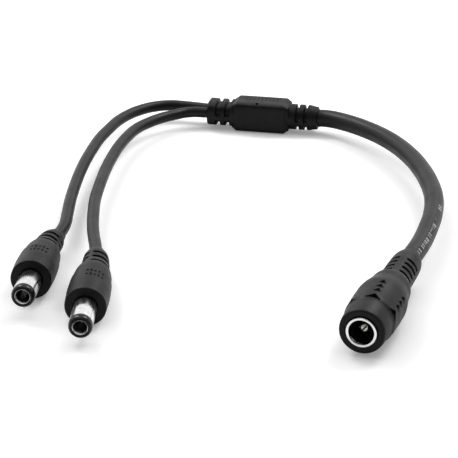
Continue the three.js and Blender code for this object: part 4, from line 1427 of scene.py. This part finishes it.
@dataclass
class Junction:
    """Y junction: a bevelled block between an oblong and a round strain relief."""

    place: Placement
    length: float = 32.05
    coarse: float = 0.4
    fine: float = 0.09
    fine_margin: float = 1.5  # how far the fine rings reach into the block
    mark_rings: Place = (10.2, 20.8, 0.12)
    segments: int = 264
    blank: float = 4.0
    skin: float = 3.9  # what lies further out is reshaped
    face_rings: Point = (1.5, 2.6)
    block: Point = (7.33, 23.72)
    wall: Point = (0.06, 0.05)  # reach of the block's end walls outside and inside its ends
    half_width: float = 4.5
    half_height: float = 4.35
    corner: float = 7.0
    bevel: float = 0.9
    bevel_run: float = 1.6
    bevel_drop: float = 0.2
    arch_height: float = 0.12
    arch_run: float = 8.0
    branch_half: Point = (4.35, 3.5)
    branch_corner: float = 3.0
    branch_edge: float = 0.5
    branch_grooves: tuple[float, ...] = (3.2, 5.9)
    branch_width: float = 1.2
    branch_soft: float = 0.34
    branch_spines: Point = (100, -100)
    branch_fade: Point = (7, 12)
    trunk_radius: float = 3.65
    trunk_edge: float = 0.4
    trunk_taper: Place = (0.35, 2.6, 0.5)  # how much, and its start and end before the end
    trunk_grooves: tuple[float, ...] = (26.2, 28.6)
    trunk_width: float = 0.85
    trunk_soft: float = 0.18
    trunk_spines: Point = (112, -112)
    trunk_fade: Point = (9, 13)
    groove_depth: float = 0.98
    hole: Point = (14.6, 38.0)
    hole_depth: float = 0.8
    hole_edge: Point = (0.28, 0.46)
    mark_middle: float = 15.5
    mark_pitch: float = 1.1
    mark_columns: int = 4
    mark_rows: Point = (-1.3, 0.2)
    mark_half: Point = (0.5, 0.3)
    mark_soft: float = 0.16
    mark_depth: float = 0.1
    mark_reach: float = 60.0

    def section(self, turn: float, half_width: float, half_height: float, power: float) -> float:
        """Radius of a rounded oblong section.

        Args:
            turn: Angle from +Z, in degrees.
            half_width: Half of its width.
            half_height: Half of its height.
            power: How square its corners are.

        Returns:
            The radius at that angle.
        """
        across = abs(math.sin(math.radians(turn))) / half_width
        up = abs(math.cos(math.radians(turn))) / half_height
        return (across ** power + up ** power) ** (-1 / power)

    def radius(self, along: float, turn: float) -> float:
        """Outer radius of the junction.

        Args:
            along: Distance from the branch end.
            turn: Angle about the axis, in degrees.

        Returns:
            The radius there.
        """
        branch = self.section(turn, *self.branch_half, self.branch_corner)
        start, end = self.block
        middle = (start + end) / 2
        wall_out, wall_in = self.wall
        if along < start - wall_out:
            cut = self.cut(self.branch_grooves, self.branch_width, self.branch_soft,
                           self.branch_spines, self.branch_fade, along, turn)
            return branch - rounding(along, self.branch_edge) - cut
        if along > end + wall_out:
            cut = self.cut(self.trunk_grooves, self.trunk_width, self.trunk_soft,
                           self.trunk_spines, self.trunk_fade, along, turn)
            amount, first, last = self.trunk_taper
            taper = amount * smooth_step(self.length - first, self.length - last, along)
            return self.trunk_radius - taper - rounding(self.length - along, self.trunk_edge) - cut
        body = self.section(turn, self.half_width, self.half_height, self.corner)
        inside = min(along - start, end - along)
        inset = self.bevel * (1 - smooth_step(0, self.bevel * self.bevel_run, inside))
        lower = branch if along < middle else self.trunk_radius
        size = max(body - inset, lower)
        if along < start + wall_in or along > end - wall_in:
            size = max(lower, body - self.bevel - self.bevel_drop)
        arch = self.arch_height * max(0.0, math.cos(math.radians(turn))) ** 4
        return size - arch * abs(along - middle) / self.arch_run - self.dent(along, turn, size)

    def cut(self, grooves: Sequence[float], width: float, soft: float, spines: Point, fade: Point,
            along: float, turn: float) -> float:
        """Return the depth of a strain relief's slots, which spines interrupt, at a place."""
        band = slot_band(grooves, along, width, soft)
        return self.groove_depth * band * smooth_step(*fade, angle_from(turn, spines))

    def dent(self, along: float, turn: float, size: float) -> float:
        """Depth of the small gate hole and of the plain sunk marks on top.

        Args:
            along: Distance from the branch end.
            turn: Angle about the axis, in degrees.
            size: Radius there without them.

        Returns:
            The depth there.
        """
        place, angle = self.hole
        away = math.hypot(along - place, math.radians(angle_between(turn, angle)) * size)
        hole = self.hole_depth * (1 - smooth_step(*self.hole_edge, away))
        column = round((along - self.mark_middle) / self.mark_pitch)
        if abs(column) > self.mark_columns or abs(turn) >= self.mark_reach:
            return hole
        across = math.tan(math.radians(turn)) * size
        bars = min(abs(across - row) for row in self.mark_rows)
        half_across, half_along = self.mark_half
        middle = self.mark_middle + column * self.mark_pitch
        mark = self.mark_depth * window(bars, 0, half_across, self.mark_soft)
        return max(hole, mark * window(along, middle, half_along, self.mark_soft))

    def build(self) -> None:
        """Make the junction as one moulding."""
        start, end = self.block
        stretches = (
            (0, start + self.fine_margin, self.fine), self.mark_rings,
            (end - self.fine_margin, self.length, self.fine),
        )
        inner, outer = self.face_rings
        mesh = spun([
            (0, 0), (0, inner), (0, outer),
            *((place, self.blank) for place in rows(0, self.length, self.coarse, stretches)),
            (self.length, outer), (self.length, 0),
        ], self.segments, False)
        reshape(mesh, 0, self.length, self.skin, self.radius)
        settle(mesh, "junction_body", self.place.matrix(), MOULDED, Slot.MOULDED,
               "junction_overmould")


# Carried-over solids


def dress_solids() -> None:
    """Give each inner solid that stays its own finish."""
    looks = {
        "inner_mould": HARD, "sleeve_tag": INNER_CONTACT, "leaf_contact": INNER_CONTACT,
        "crimp": INNER_CONTACT, "solder": SOLDER, "shrink": BLACK_WIRE,
        "wire_positive": RED_WIRE, "wire_negative": BLACK_WIRE,
    }
    for name, node in sorted(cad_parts.items()):
        finish = next((look for word, look in looks.items() if word in name), None)
        if finish is None:
            continue
        node.data.materials.clear()
        node.data.materials.append(FINISHES.get(finish))
        LOG.info("solid %s keeps its shape and gets %s", name, finish.name)


def lay_cables(plug_a: Plug, plug_b: Plug, socket: Socket, junction: Junction) -> None:
    """Lay the three cables and the trunk's print.

    Args:
        plug_a: The left plug.
        plug_b: The right plug.
        socket: The socket.
        junction: The junction.
    """
    for plug, side, length, route in ((plug_a, -1, LENGTH_A, ROUTE_A), (plug_b, 1, LENGTH_B, ROUTE_B)):
        node = plug.name.replace("plug", "branch")
        start = [plug.exit(along) for along in PLUG_HOLD]
        end = [junction.place.point((side * BRANCH_ASIDE, along, 0)) for along in BRANCH_HOLD]
        Cable(f"{node}_cable", node, BRANCH_DIAMETER, length, start, route, end).build()
    start = [junction.place.point((0, along, 0)) for along in (TRUNK_HOLD, junction.length)]
    end = [socket.place.point((0, along, 0)) for along in (socket.end, SOCKET_HOLD)]
    trunk = Cable("trunk_cable", "trunk", TRUNK_DIAMETER, LENGTH_TRUNK, start, TRUNK_ROUTE, end)
    trunk.build()
    TrunkPrint(trunk.line()).build()


def main() -> None:
    """Build the whole scene, camera and cables first."""
    logging.basicConfig(level=logging.INFO, format="%(name)s: %(message)s")
    Studio().build()
    plug_a = Plug("plug_a", PLUG_A, flex=13.5, spine_angle=62.0, mark_angle=8.0)
    plug_b = Plug("plug_b", PLUG_B, flex=-8.0, spine_angle=-18.0, mark_angle=17.0)
    socket, junction = Socket(SOCKET), Junction(JUNCTION)
    lay_cables(plug_a, plug_b, socket, junction)
    for part in (plug_a, plug_b, socket, junction):
        part.build()
    dress_solids()


if __name__ == "__main__":
    main()
